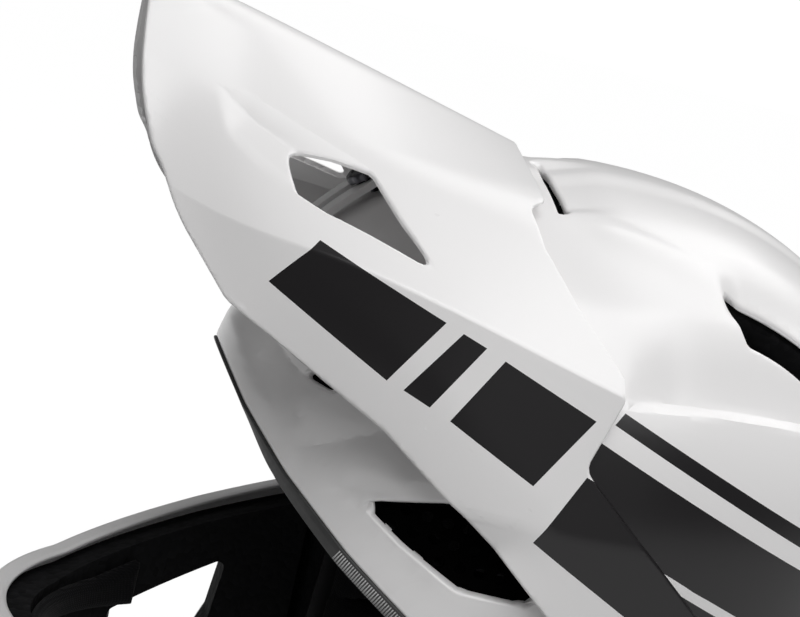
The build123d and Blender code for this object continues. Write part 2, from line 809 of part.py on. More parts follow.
save("strap_right", mirrored(strap_right))


def ring(x):
    """A wire ring that hangs with its straight bar in the strap's loop."""
    half_width = ring_inner_half_width + ring_wire_radius
    corners = [
        (x, strap_y - half_width, ring_height),
        (x, strap_y + half_width, ring_height),
        (x, strap_y + half_width, ring_height - ring_depth),
        (x, strap_y - half_width, ring_height - ring_depth),
    ]
    top_radius = ring_wire_radius * ring_top_radius_share
    path = FilletPolyline(
        *corners, radius=[top_radius, top_radius, ring_corner_radius, ring_corner_radius], close=True
    )
    start = Plane(origin=path @ 0, z_dir=path % 0)
    return sweep(start * Circle(ring_wire_radius), path)


save("ring_outer", ring(rings_x[0]))
save("ring_inner", ring(rings_x[1]))

# Anchors: a plate on the foam under each strap, held by a rivet through both
anchor_y = (strap_y - anchor_plate_size / 2, strap_y + anchor_plate_size / 2)
anchor_z = (strap_anchor_height - anchor_plate_size / 2, strap_top)
anchor = pad(block(0, far, *anchor_y, *anchor_z), pad_outside, anchor_plate_thickness)
rivet_head_x = strap_wall(anchor_z[0])[0] - strap_thickness - piece_gap
anchor += across(rivet_radius, rivet_head_x, rivet_end_x, strap_y, strap_anchor_height)
anchor += across(2 * rivet_radius, rivet_head_x - rivet_head, rivet_head_x, strap_y, strap_anchor_height)
save("strap_anchor_left", anchor)
save("strap_anchor_right", mirrored(anchor))

# Half of the snap that keeps the strap's free end: its stud, near the end of the right strap
snap_stud = disc(
    stud_radius, stud_height, strap_free_end - 2 * stud_radius, floor_clearance + strap_thickness, 0
)
save("snap_stud", snap_stud)
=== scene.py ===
"""Full-face downhill helmet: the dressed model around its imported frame.

The surfaces are worked out in millimetres about the dome: +X is the wearer's left, -Y the
front and +Z up. They are moved back by frame_shift and turned into metres as they are made.
"""
import math

import bmesh
import bpy
import numpy as np
from bpy.props import FloatProperty, FloatVectorProperty, PointerProperty
from mathutils import Matrix, Vector


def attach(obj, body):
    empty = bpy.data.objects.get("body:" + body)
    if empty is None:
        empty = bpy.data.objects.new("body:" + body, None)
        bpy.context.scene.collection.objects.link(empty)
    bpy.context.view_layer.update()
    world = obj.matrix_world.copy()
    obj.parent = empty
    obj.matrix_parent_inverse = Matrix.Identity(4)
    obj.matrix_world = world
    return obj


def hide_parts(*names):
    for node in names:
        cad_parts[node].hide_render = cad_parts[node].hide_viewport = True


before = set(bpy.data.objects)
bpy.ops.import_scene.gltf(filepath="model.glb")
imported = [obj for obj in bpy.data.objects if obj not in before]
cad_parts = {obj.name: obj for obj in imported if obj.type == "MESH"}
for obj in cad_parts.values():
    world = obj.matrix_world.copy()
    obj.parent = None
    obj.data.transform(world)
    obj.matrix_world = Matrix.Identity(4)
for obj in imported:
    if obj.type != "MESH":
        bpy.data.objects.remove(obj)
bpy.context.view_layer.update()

bl_info = {
    "name": "Full-face helmet",
    "version": (1, 0, 0),
    "blender": (4, 5, 0),
    "location": "3D View > Sidebar > Helmet",
    "description": "Builds a downhill full-face helmet around its packed frame",
    "category": "Add Mesh",
}

# Outer skin, the same curves as the frame's, in millimetres
millimetre = 0.001
shell_half_width = 118.0
shell_brow_reach = 135.0
shell_back_reach = 139.0
shell_equator = 150.0
crown_rise = 118.0
base_tuck = 20.0
nape_tuck = 27.0
nape_power = 1.8
chin_reach = 195.0
chin_nose_height = 55.0
chin_rake = 10.6
chin_blend = 60.0
chin_base_rise = 6.0
nape_base_rise = 35.0
dome_power = 2.1
plan_power = 2.05
frame_shift = (chin_reach - shell_back_reach) / 2
crown_height = shell_equator + crown_rise
head_centre = (0.0, 0.0, 120.0)

# Walls and clearances
shell_wall = 3.0
liner_gap = 0.4
liner_thickness = 25.0
piece_gap = 0.3
trim_lap = 5.0
trim_edge_lap = 0.7
trim_bead = 1.0
trim_low_bead = 4.6
trim_web = 1.5
trim_spacing = 0.25
trim_bead_top = 165.0
rib_low = 100.0
rib_high = 134.0
base_trim_height = 8.0
liner_base_rise = 15.0
cheek_line = 62.0
chin_ledge_width = 8.0
liner_inset = shell_wall + liner_gap
pad_inset = liner_inset + liner_thickness + piece_gap
liner_chin_top = 96.0
liner_edge_roll = 2.0

# Pads
pad_thickness = 7.0
cheek_pad_thickness = 20.0
cheek_plate_thickness = 1.7
neck_roll_thickness = 32.0
neck_roll_front = 49.0
chin_pad_thickness = 5.0
chin_pad_inset = 14.9
chin_pad_low = 44.0
chin_pad_back = -148.7

# Screws
screw_scallops = 12
thread_pitch = 1.0

# Chin straps and their rings
strap_width = 25.0
strap_thickness = 2.0
strap_y = 24.0
strap_top = 77.0
strap_outside = pad_inset + 1.2 + piece_gap
strap_drop_in = 12.0
strap_bend_radius = 12.0
strap_free_end = 5.0
ring_height = 31.0
ring_spacing = 4.4
bar_radius = 1.65
loop_radius = bar_radius + strap_thickness
floor_clearance = 0.4

# Outlines, as shares of the brow's reach and of the equator's height in the side view
eye_port_shares = (
    (-1.9, 1.24), (-1.02, 1.18), (-0.94, 1.085), (-0.83, 0.99), (-0.67, 0.885),
    (-0.4, 0.735), (-0.46, 0.645), (-0.82, 0.547), (-1.25, 0.421), (-1.9, 0.373),
)
brow_vent_shares = (
    (-0.675, 1.003), (-0.49, 1.063), (-0.3, 1.1), (-0.22, 1.06), (-0.24, 0.893), (-0.41, 0.887),
    (-0.56, 0.945),
)
chin_vent_shares = ((-1.05, 0.275), (-0.7, 0.42), (-0.722, 0.25), (-0.785, 0.13), (-1.043, 0.112))
cheek_pad_shares = (
    (-0.46, 0.27), (-0.43, 0.6), (-0.3, 0.76), (-0.12, 0.8), (0.03, 0.66), (0.05, 0.3), (-0.1, 0.16),
    (-0.36, 0.16),
)
# seen from above, as shares of the half width and of the brow's reach
crown_slit_shares = ((0.05, -0.288), (0.41, -0.275), (0.41, -0.249), (0.05, -0.262))
crown_side_shares = ((0.61, 0.14), (0.733, 0.21), (0.708, 0.62), (0.58, 0.66))
crown_pad_shares = (
    (-0.62, -0.5), (-0.2, -0.62), (0.2, -0.62), (0.62, -0.5), (0.66, 0.45), (0.22, 0.62),
    (-0.22, 0.62), (-0.66, 0.45),
)
crown_window_shares = ((0.15, -0.42), (0.42, -0.38), (0.46, 0.32), (0.15, 0.42))
# and seen from the front or the back, as shares of the half width and of the equator's height
brow_slot_shares = ((0.5, 1.23), (0.6, 1.224), (0.6, 1.204), (0.5, 1.21))
mouth_vent_shares = ((-0.4, 0.27), (0.4, 0.27), (0.33, 0.12), (-0.33, 0.12))
rear_upper_shares = ((0.12, 1.3), (0.5, 1.24), (0.46, 1.1), (0.12, 1.16))
rear_lower_shares = ((0.12, 0.82), (0.46, 0.86), (0.42, 0.72), (0.12, 0.69))
brow_pad_shares = ((-0.62, 1.24), (0.62, 1.24), (0.62, 1.44), (0.3, 1.56), (-0.3, 1.56), (-0.62, 1.44))
nape_pad_shares = ((-0.5, 0.42), (0.5, 0.42), (0.6, 0.62), (0.44, 0.8), (-0.44, 0.8), (-0.6, 0.62))
eye_port_radius = 9.0
vent_radius = 3.0
slot_radius = 1.2
pad_radius = 6.0
cheek_pad_radius = 9.0

# Peak: tip, slope and stations from the tip back, as in the frame
peak_tip_reach = 190.0
peak_tip_height = 303.0
peak_slope = 13.4
peak_ridge_radius = 16.0
peak_crease_radius = 3.5
peak_knee_radius = 30.0
peak_middle_radius = 60.0
peak_foot_height = 90.0
peak_knee_share = 1.08
roof_middle_share = 0.55
peak_wall = 2.5
peak_rear_floor = 190.0
peak_edge_radius = 8.0
peak_lead_radius = 60.0
peak_corner_radius = 5.0
arm_half_width = 19.7
arm_slope = 39.2
arm_round_share = 0.985
pivot_y = 26.0
pivot_height = 115.0
pivot_face = 123.6
brace_radius = 174.6
brace_thickness = 2.5
brace_half_width = 11.0
brace_low_angle = 31.5
brace_high_angle = 61.4
brace_end_slope = 0.00222
brace_screw_angle = 47.0
brace_slot_angles = (34.0, 48.0)
brace_slot_half_width = 3.2
brace_corner_radius = 4.0
brace_overrun = 9.0
# where the rows across the peak lie closer, about each of its bends
peak_bend_places = np.array([-0.09, -0.06, -0.045, -0.03, -0.015, 0.015, 0.03, 0.045, 0.06, 0.09])
peak_station_shares = (
    (1.074, 0.28, 0.826, 0.586, 0.82, 0.012),
    (0.938, 0.347, 0.7782, 0.654, 0.863, 0.013),
    (0.779, 0.534, 0.7544, 0.783, 0.936, 0.016),
    (0.599, 0.708, 0.7486, 0.897, 1.001, 0.021),
    (0.395, 0.843, 0.73, 0.983, 1.04, 0.037),
    (0.158, 0.932, 0.696, 1.026, 1.045, 0.068),
    (-0.08, 0.99, 0.665, 1.045, 1.045, 0.07),
    (-0.32, 1.0, 0.635, 1.046, 1.045, 0.07),
)
peak_lower_shares = (
    (-1.12, 1.1), (-1.12, 0.81), (-0.921, 0.778), (-0.855, 0.729), (-0.776, 0.676), (-0.685, 0.652),
    (-0.488, 0.596), (-0.262, 0.501),
)
peak_upper_shares = ((-0.142, 0.605), (-0.1, 0.681), (-0.1, 1.1))
peak_plan_shares = ((1.3, 0.4), (1.3, -0.83), (0.366, -0.916), (0.299, -0.94), (0.219, -0.973), (0.12, -0.987))
peak_rear_shares = (
    (0.46, -0.235), (0.5, -0.268), (0.62, -0.243), (0.755, -0.184), (0.92, -0.09), (0.92, 0.5),
)
peak_vent_shares = (
    (0.386, -0.708), (0.425, -0.627), (0.466, -0.559), (0.596, -0.506), (0.742, -0.437),
    (0.652, -0.542), (0.572, -0.632), (0.512, -0.684),
)
# the hollow that leads into the peak's vent, from above as the vent is
peak_hollow_inner_shares = (
    (0.234, -0.843), (0.259, -0.782), (0.305, -0.725), (0.355, -0.671), (0.405, -0.617), (0.456, -0.558),
    (0.596, -0.498), (0.756, -0.429),
)
peak_hollow_outer_shares = ((0.679, -0.522), (0.607, -0.602), (0.518, -0.692), (0.44, -0.756), (0.349, -0.817))
peak_hollow_depth = 3.6
peak_hollow_wall_slope = 0.46
peak_hollow_ramp_slope = 0.22
peak_edge_lift = 0.9
peak_turn_width = 26.0
peak_turn_depth = 4.2
peak_corner_blend = 9.0

# Painted bands and the plain gaps in them, as outlines in the side view
peak_bands = (
    ((-135.2, 214.1), (-121.6, 230.6), (-79.9, 217.4), (-94.6, 195.5)),
    ((-89.0, 194.0), (-74.0, 215.5), (-66.0, 213.0), (-80.0, 191.0)),
    ((-73.0, 188.5), (-59.5, 210.5), (-27.0, 199.0), (-43.0, 175.0)),
    ((-26.3, 181.3), (-39.0, 157.0), (20.0, 128.0), (80.0, 98.0), (80.0, 150.0)),
)
peak_gaps = (((-60.0, 150.6), (60.0, 106.2), (60.0, 103.0), (-60.0, 147.4)),)
shell_bands = (
    ((-18.6, 197.9), (-15.8, 202.1), (112.0, 154.8), (104.0, 151.6)),
    ((-40.0, 198.2), (-40.0, 157.5), (0.0, 137.8), (72.0, 102.0), (106.0, 144.4)),
)
shell_gaps = (((-60.0, 180.0), (120.0, 113.4), (120.0, 109.8), (-60.0, 176.4)),)

# Camera, fitted to the photograph's outlines
camera_place = (688.0, -246.0, 338.0)
camera_azimuth = 75.7
camera_elevation = 11.1
camera_roll = 15.0
camera_focal_pixels = 1957.0
picture_width = 800
sensor_width = 36.0

# Lamps: name, place and aim in metres, size and power
lamps = (
    ("key", (0.86, 0.08, 1.42), (0.0, 0.0, 0.17), 1.3, 16.5),
    ("crown_fill", (-0.4, 0.9, 1.7), (0.0, 0.03, 0.15), 1.4, 10.0),
    ("side_fill", (1.7, 0.2, 0.75), (0.0, 0.0, 0.15), 1.0, 0.9),
)
floor_half_width = 6000.0
floor_drop = 0.05


# Numbers and outlines
def smooth_step(share):
    """Zero below zero, one above one, and 3s^2 - 2s^3 between."""
    share = np.clip(share, 0.0, 1.0)
    return share * share * (3 - 2 * share)


def scaled(shares, *sizes):
    """Points from a table of shares, each column times its own size."""
    return np.array(shares, float) * np.array(sizes)


def side_points(shares):
    return scaled(shares, shell_brow_reach, shell_equator)


def top_points(shares):
    return scaled(shares, shell_half_width, shell_brow_reach)


def front_points(shares):
    return scaled(shares, shell_half_width, shell_equator)


def plan_half(points):
    """The points from above, those of the right half on the left."""
    return np.stack([np.abs(points[:, 0]), points[:, 1]], -1)


def left_half(points):
    return np.column_stack([np.abs(points[:, 0]), points[:, 1:]])


def cubic_through(places, values, wanted):
    """A natural cubic spline: its second derivatives solve one linear system."""
    order = np.argsort(places)
    x, y = np.asarray(places, float)[order], np.asarray(values, float)[order]
    gap = np.diff(x)
    system = np.eye(len(x))
    right = np.zeros_like(y)
    inner = np.arange(1, len(x) - 1)
    system[inner, inner - 1] = gap[:-1]
    system[inner, inner] = 2 * (gap[:-1] + gap[1:])
    system[inner, inner + 1] = gap[1:]
    slope = np.diff(y, axis=0) / gap.reshape(-1, *[1] * (y.ndim - 1))
    right[1:-1] = 6 * np.diff(slope, axis=0)
    bend = np.linalg.solve(system, right)
    index = np.clip(np.searchsorted(x, wanted) - 1, 0, len(gap) - 1)
    shape = (-1, *[1] * (y.ndim - 1))
    step = gap[index].reshape(shape)
    ahead = (x[index + 1] - wanted).reshape(shape) / step
    behind = 1 - ahead
    curve = ((ahead**3 - ahead) * bend[index] + (behind**3 - behind) * bend[index + 1]) * step**2 / 6
    return ahead * y[index] + behind * y[index + 1] + curve


def rounded(points, radii, steps=7, closed=True):
    """An outline whose corners are arcs: a quadratic curve between each arc's two ends."""
    points = np.asarray(points, float)
    radii = np.broadcast_to(np.asarray(radii, float), len(points))
    before, after = np.roll(points, 1, 0), np.roll(points, -1, 0)
    back, ahead = before - points, after - points
    back_length = np.linalg.norm(back, axis=1)
    ahead_length = np.linalg.norm(ahead, axis=1)
    back = back / back_length[:, None]
    ahead = ahead / ahead_length[:, None]
    turn = np.pi - np.arccos(np.clip((back * ahead).sum(1), -1, 1))
    reach = np.minimum(radii * np.tan(turn / 2), 0.495 * np.minimum(back_length, ahead_length))
    if not closed:
        reach[0] = reach[-1] = 0
    share = np.linspace(0, 1, steps)[None, :, None]
    start = (points + back * reach[:, None])[:, None]
    end = (points + ahead * reach[:, None])[:, None]
    curve = (1 - share) ** 2 * start + 2 * share * (1 - share) * points[:, None] + share**2 * end
    line = curve.reshape(-1, points.shape[1])
    keep = np.ones(len(line), bool)
    keep[1:] = np.linalg.norm(np.diff(line, axis=0), axis=1) > 1e-6
    return line[keep]


def depth_inside(points, outline):
    """How deep each point lies inside a closed outline: its distance to the line, below zero outside."""
    nearest = np.full(len(points), np.inf)
    crossings = np.zeros(len(points), int)
    for start, end in zip(outline, np.roll(outline, -1, 0)):
        run = end - start
        length = run @ run
        if length < 1e-12:
            continue
        off = points - start
        along = np.clip(off @ run / length, 0, 1)
        nearest = np.minimum(nearest, ((off - along[:, None] * run) ** 2).sum(1))
        spans = (start[1] > points[:, 1]) != (end[1] > points[:, 1])
        if abs(run[1]) > 1e-12:
            crossings += spans & (off[:, 0] < (points[:, 1] - start[1]) / run[1] * run[0])
    return np.sqrt(nearest) * np.where(crossings % 2 == 1, 1, -1)


def beside(points, path, centre=head_centre):
    """Distance to a path of straight runs, the side it is on (plus is to the left of travel) and the
    distance to the path's nearer end measured along it."""
    path = np.asarray(path, float)
    lengths = np.linalg.norm(np.diff(path, axis=0), axis=1)
    starts = np.concatenate([[0], np.cumsum(lengths)])
    nearest = np.full(len(points), np.inf)
    side = np.zeros(len(points))
    to_end = np.zeros(len(points))
    outward = points - np.array(centre)
    for index, length in enumerate(lengths):
        run = (path[index + 1] - path[index]) / length
        off = points - path[index]
        along = np.clip(off @ run, 0, length)
        gap = off - along[:, None] * run
        distance = np.linalg.norm(gap, axis=1)
        closer = distance < nearest
        nearest[closer] = distance[closer]
        side[closer] = np.sign((np.cross(outward, run) * gap).sum(1))[closer]
        here = starts[index] + along
        to_end[closer] = np.minimum(here, starts[-1] - here)[closer]
    return nearest, side, to_end


def skin_level(points):
    """The skin's own value at each point: below one inside it, one on it and above one outside."""
    width, front, back = skin_reaches(np.minimum(points[:, 2], shell_equator), 0)
    over = np.clip((points[:, 2] - shell_equator) / crown_rise, 0, 0.999)
    share = (1 - over**dome_power) ** (1 / dome_power)
    reach = np.where(points[:, 1] < 0, front, back) * share
    return (np.abs(points[:, 0]) / (width * share)) ** plan_power + (np.abs(points[:, 1]) / reach) ** plan_power


def drawn_on_skin(path, spacing=10.0, centre=head_centre):
    """The path in short even runs, each of its points moved along a ray from the centre onto the skin,
    by halving."""
    centre = np.array(centre)
    ray = evenly(np.array(path, float), spacing) - centre
    low, high = np.full(len(ray), 0.7), np.full(len(ray), 1.3)
    for _ in range(24):
        middle = (low + high) / 2
        inside = skin_level(centre + ray * middle[:, None]) < 1
        low, high = np.where(inside, middle, low), np.where(inside, high, middle)
    return centre + ray * low[:, None]


def furrow(points, path, depth, left, right, fade, crisp=False):
    """A dent along a path: full depth on it, falling to nothing over one width on its left and another
    on its right, and towards its two ends. A depth below zero is a ridge. A crisp one falls in straight
    lines, so its sides are facets."""
    distance, side, to_end = beside(left_half(points), drawn_on_skin(path))
    fall = np.clip(1 - distance / np.where(side > 0, left, right), 0, 1)
    return depth * (fall if crisp else smooth_step(fall)) * smooth_step(to_end / fade + 0.001)


# Skin of the helmet
def skin_reaches(height, inset):
    """Half width, front reach and back reach of the skin at each height below the crown's curve."""
    drop = np.clip((shell_equator - height) / shell_equator, 0, 2)
    share = smooth_step((shell_equator - height) / chin_blend)
    chin = chin_reach - chin_rake * ((height - chin_nose_height) / chin_nose_height) ** 2
    width = shell_half_width - base_tuck * drop**2
    front = shell_brow_reach * (1 - share) + chin * share
    back = shell_back_reach - nape_tuck * drop**nape_power
    return width - inset, front - inset, back - inset


def skin_points(angle, rise, inset=0.0):
    """The skin as a function of an angle round the head, zero at the front, and of a rise: height over
    the equator as a share of the crown's rise below zero, and an angle up the dome above it. Each level
    is a superellipse, and inset moves it inwards."""
    up = np.clip(rise, 0, np.pi / 2)
    height = shell_equator + crown_rise * np.minimum(rise, 0)
    width, front, back = skin_reaches(height, inset)
    share = np.cos(up) ** (2 / dome_power)
    height = height + (crown_rise - inset) * np.sin(up) ** (2 / dome_power)
    side, ahead = np.sin(angle), np.cos(angle)
    x = width * share * np.sign(side) * np.abs(side) ** (2 / plan_power)
    y = np.where(ahead > 0, -front, back) * share * np.abs(ahead) ** (2 / plan_power)
    return np.stack([x, y, height], -1)


def rise_at(height):
    """The rise at which the skin has a given height."""
    height = np.asarray(height, float)
    over = np.clip((height - shell_equator) / crown_rise, 0, 1)
    return np.where(height < shell_equator, (height - shell_equator) / crown_rise,
                    np.arcsin(over ** (dome_power / 2)))


def skin_beside(y, height, inset=0.0):
    """How far out the skin lies beside the middle plane at one y and height."""
    y, height = np.asarray(y, float), np.asarray(height, float)
    width, front, back = skin_reaches(np.minimum(height, shell_equator), inset)
    over = np.clip((height - shell_equator) / (crown_rise - inset), 0, 1)
    share = (1 - over**dome_power) ** (1 / dome_power)
    reach = np.where(y < 0, front, back) * share
    return width * share * np.clip(1 - (np.abs(y) / reach) ** plan_power, 0, 1) ** (1 / plan_power)


# Cut surfaces
def grid(along_u, along_v):
    """Corners of a level grid from its places along two parameters, and its triangles."""
    u, v = np.meshgrid(along_u, along_v, indexing="ij")
    index = np.arange(u.size).reshape(u.shape)
    a, b, c, d = index[:-1, :-1], index[1:, :-1], index[1:, 1:], index[:-1, 1:]
    faces = np.concatenate([np.stack([a, b, c], -1).reshape(-1, 3), np.stack([a, c, d], -1).reshape(-1, 3)])
    return np.stack([u.ravel(), v.ravel()], -1), faces


def cut(corners, faces, value):
    """The part of a triangle mesh where a value is above zero. Each edge that the value changes sign on
    gets a new corner, where a straight line between its two values is zero."""
    value = np.where(np.abs(value) < 1e-9, 1e-9, value)
    keep = value > 0
    count = keep[faces].sum(1)
    parts, edges = [faces[count == 3]], []
    for wanted in (1, 2):
        part = faces[count == wanted]
        lone = (keep[part] if wanted == 1 else ~keep[part]).argmax(1)
        part = np.take_along_axis(part, (lone[:, None] + np.arange(3)) % 3, 1)
        edges.append(part)
    pairs = np.concatenate([part[:, [0, other]] for part in edges for other in (1, 2)])
    if not len(pairs):
        return corners, parts[0]
    pairs, where = np.unique(np.sort(pairs, 1), axis=0, return_inverse=True)
    where = where.ravel() + len(corners)
    first, second = value[pairs[:, 0]], value[pairs[:, 1]]
    share = (first / (first - second))[:, None]
    made = corners[pairs[:, 0]] * (1 - share) + corners[pairs[:, 1]] * share
    one, two = edges
    one_ab, one_ac, two_ab, two_ac = np.split(where, np.cumsum([len(one), len(one), len(two)]))
    parts.append(np.stack([one[:, 0], one_ab, one_ac], 1))
    parts.append(np.stack([two_ab, two[:, 1], two[:, 2]], 1))
    parts.append(np.stack([two_ab, two[:, 2], two_ac], 1))
    corners, faces = np.concatenate([corners, made]), np.concatenate(parts)
    used, faces = np.unique(faces, return_inverse=True)
    return corners[used], faces.reshape(-1, 3)


def split(corners, faces, value):
    """Both parts of a triangle mesh, parted where a value is zero, so that an edge runs there."""
    value = np.where(np.abs(value) < 1e-9, 1e-9, value)
    above, faces_above = cut(corners, faces, value)
    below, faces_below = cut(corners, faces, -value)
    return np.concatenate([above, below]), np.concatenate([faces_above, faces_below + len(above)])


def joined(points, faces, *others, step=0.004):
    """Corners that lie in one place become one, and faces that lose a side go. Any other point tables
    keep the same order."""
    _, first, where = np.unique(np.round(points / step).astype(np.int64), axis=0,
                                return_index=True, return_inverse=True)
    faces = where.ravel()[faces]
    sound = (faces[:, 0] != faces[:, 1]) & (faces[:, 1] != faces[:, 2]) & (faces[:, 0] != faces[:, 2])
    return points[first], faces[sound], *[other[first] for other in others]


def outward_faces(points, faces, centre=head_centre):
    """Faces of an open sheet, all turned away from the head together."""
    a, b, c = (points[faces[:, k]] for k in range(3))
    facing = (np.cross(b - a, c - a) * ((a + b + c) / 3 - np.array(centre))).sum()
    return faces if facing > 0 else faces[:, ::-1]


def walled(outer, inner, faces):
    """A closed wall: the outer sheet, the inner sheet turned round, and a strip along every open edge."""
    edges = np.concatenate([faces[:, [0, 1]], faces[:, [1, 2]], faces[:, [2, 0]]])
    _, where, count = np.unique(np.sort(edges, 1), axis=0, return_inverse=True, return_counts=True)
    rim = edges[count[where.ravel()] == 1]
    shift = len(outer)
    strip_one = np.column_stack([rim[:, 1], rim[:, 0], rim[:, 0] + shift])
    strip_two = np.column_stack([rim[:, 1], rim[:, 0] + shift, rim[:, 1] + shift])
    return np.concatenate([outer, inner]), np.concatenate([faces, faces[:, ::-1] + shift, strip_one, strip_two])


def corner_normals(points, faces):
    """The direction of the surface at each corner, as the mean of its faces' by area, taken twice so
    that slivers follow their neighbours."""
    a, b, c = (points[faces[:, k]] for k in range(3))
    across = np.cross(b - a, c - a)
    for _ in range(2):
        total = np.zeros_like(points)
        for k in range(3):
            np.add.at(total, faces[:, k], across)
        across = total[faces].sum(1)
    return total / np.maximum(np.linalg.norm(total, axis=1), 1e-9)[:, None]


def in_metres(points):
    return (np.asarray(points, float) + (0, frame_shift, 0)) * millimetre


def mesh_object(name, points, faces, uv=None, painted=None):
    """A mesh from corners in millimetres and faces of one size. uv has one row for each corner, and
    painted is true for each face that takes the piece's second material."""
    faces = np.asarray(faces)
    mesh = bpy.data.meshes.new(name)
    sides = faces.shape[1]
    mesh.vertices.add(len(points))
    mesh.vertices.foreach_set("co", in_metres(points).astype(np.float32).ravel())
    mesh.loops.add(faces.size)
    mesh.loops.foreach_set("vertex_index", faces.astype(np.int32).ravel())
    mesh.polygons.add(len(faces))
    mesh.polygons.foreach_set("loop_start", np.arange(0, faces.size, sides, dtype=np.int32))
    if uv is not None:
        layer = mesh.uv_layers.new(name="UVMap")
        layer.data.foreach_set("uv", uv[faces.ravel()].astype(np.float32).ravel())
    if painted is not None:
        mesh.polygons.foreach_set("material_index", np.asarray(painted, np.int32))
    mesh.update(calc_edges=True)
    mesh.validate()
    piece = bpy.data.objects.new(name, mesh)
    bpy.context.scene.collection.objects.link(piece)
    return piece


def face_outwards(piece):
    """Merges doubles and turns the faces of a closed shape outwards."""
    work = bmesh.new()
    work.from_mesh(piece.data)
    bmesh.ops.remove_doubles(work, verts=work.verts, dist=2e-6)
    bmesh.ops.recalc_face_normals(work, faces=work.faces)
    work.to_mesh(piece.data)
    work.free()


def soften(piece, degrees=35.0):
    piece.data.shade_smooth()
    piece.data.set_sharp_from_angle(angle=math.radians(degrees))


def finish_piece(piece, body, slot, material, *nodes, second=None):
    """Gives a piece its body and materials, and hides the frame's nodes it stands for. The slot is not used."""
    piece.data.materials.append(material)
    if second is not None:
        piece.data.materials.append(second)
    if nodes:
        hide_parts(*nodes)
    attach(piece, body)
    return piece


def carried(name, path, side, up, profile, closed_path=False):
    """A profile carried along a path: each profile point is so far along side and so far along up. The
    profile is one for the whole path or one for each of its points."""
    profile = np.broadcast_to(profile, (len(path), *profile.shape[-2:]))
    points = path[:, None] + profile[..., :1] * side[:, None] + profile[..., 1:2] * up[:, None]
    rows, columns = points.shape[:2]
    index = np.arange(rows * columns).reshape(rows, columns)
    index = np.concatenate([index, index[:, :1]], 1)
    if closed_path:
        index = np.concatenate([index, index[:1]], 0)
    a, b, c, d = index[:-1, :-1], index[:-1, 1:], index[1:, 1:], index[1:, :-1]
    faces = np.stack([a, b, c, d], -1).reshape(-1, 4)
    length = np.concatenate([[0], np.cumsum(np.linalg.norm(np.diff(path, axis=0), axis=1))])
    round_share = np.linspace(0, 1, columns)
    uv = np.stack(np.meshgrid(length * millimetre, round_share, indexing="ij"), -1).reshape(-1, 2)
    piece = mesh_object(name, points.reshape(-1, 3), faces, uv)
    if not closed_path:
        work = bmesh.new()
        work.from_mesh(piece.data)
        open_edges = [edge for edge in work.edges if edge.is_boundary]
        bmesh.ops.holes_fill(work, edges=open_edges, sides=0)
        work.to_mesh(piece.data)
        work.free()
    face_outwards(piece)
    soften(piece)
    return piece


def evenly(path, spacing):
    """The same path with its points evenly spaced."""
    length = np.concatenate([[0], np.cumsum(np.linalg.norm(np.diff(path, axis=0), axis=1))])
    wanted = np.linspace(0, length[-1], max(int(length[-1] / spacing), 2))
    return np.stack([np.interp(wanted, length, path[:, axis]) for axis in range(3)], -1)


# Openings, each as the depth inside it of a point of the skin
def eye_port_depth(points, grow=0.0):
    return depth_inside(points[:, 1:], rounded(side_points(eye_port_shares), eye_port_radius)) + grow


def base_line(y):
    """Height of the lower rim over the floor: raised at the chin and at the nape."""
    places = [-chin_reach, -shell_brow_reach, shell_back_reach / 2, shell_back_reach]
    return np.interp(y, places, [chin_base_rise, 0, 0, nape_base_rise])


def under_base_depth(points, rise):
    return base_line(points[:, 1]) + rise - points[:, 2]


def brow_vent_depth(points, grow=0.0):
    depth = depth_inside(points[:, 1:], rounded(side_points(brow_vent_shares), vent_radius)) + grow
    return np.minimum(depth, np.abs(points[:, 0]) - shell_half_width / 2)


def chin_vent_depth(points, grow=0.0):
    return depth_inside(points[:, 1:], rounded(side_points(chin_vent_shares), vent_radius)) + grow


def from_above(points, shares, radius, floor):
    """An opening seen from above, mirrored across, over some height only."""
    depth = depth_inside(plan_half(points), rounded(top_points(shares), radius))
    return np.minimum(depth, points[:, 2] - floor)


def from_ahead(points, shares, radius, behind, limit):
    """An opening seen from the front, or from the back where behind is true, mirrored across."""
    flat = np.stack([np.abs(points[:, 0]), points[:, 2]], -1)
    reach = points[:, 1] - limit if behind else limit - points[:, 1]
    return np.minimum(depth_inside(flat, rounded(front_points(shares), radius)), reach)


def crown_side_depth(points):
    return from_above(points, crown_side_shares, vent_radius, shell_equator + crown_rise / 2)


def crown_slit_depth(points):
    return from_above(points, crown_slit_shares, slot_radius, crown_height - liner_thickness)


def mouth_vent_depth(points, grow=0.0):
    return from_ahead(points, mouth_vent_shares, vent_radius, False, -shell_brow_reach) + grow


def vents_depth(points):
    """The deepest of all vents at each point."""
    return np.max([
        brow_vent_depth(points),
        crown_side_depth(points),
        crown_slit_depth(points),
        from_ahead(points, brow_slot_shares, slot_radius, False, -shell_brow_reach / 2),
        from_ahead(points, rear_upper_shares, vent_radius, True, shell_back_reach / 2),
        from_ahead(points, rear_lower_shares, vent_radius, True, shell_back_reach / 2),
    ], axis=0)


# Ridges, hollows and facets of the outer shell, as paths on its left half
ledge_path = ((104, -22, 206), (104, -3, 208), (95, 49, 209), (80, 92, 206), (50, 122, 202), (0, 136, 198))
side_vent_path = ((77, 17, 241), (72, 51, 236), (64, 88, 226))
slit_path = ((2, -36.2, 264.5), (49, -35.2, 253.5))
crown_ridge_path = ((50, -32, 254), (60, -10, 252), (67, 11, 248), (77, 19, 240))
brow_crease_path = ((60, -117.5, 152.5), (77.8, -101.8, 165.8), (88.4, -87.1, 175.4), (104, -60, 186))
brow_facet = 17.5
brow_below = 16.0
brow_groove_path = ((76, -105, 149), (85.8, -95, 152.5), (97, -80, 158))
brow_upper_path = ((30, -128, 190), (60, -113, 181), (92, -80, 188))
chin_line_path = ((108, -30, 62), (96, -90, 66), (72, -145, 60), (40, -180, 54), (0, -195, 50))
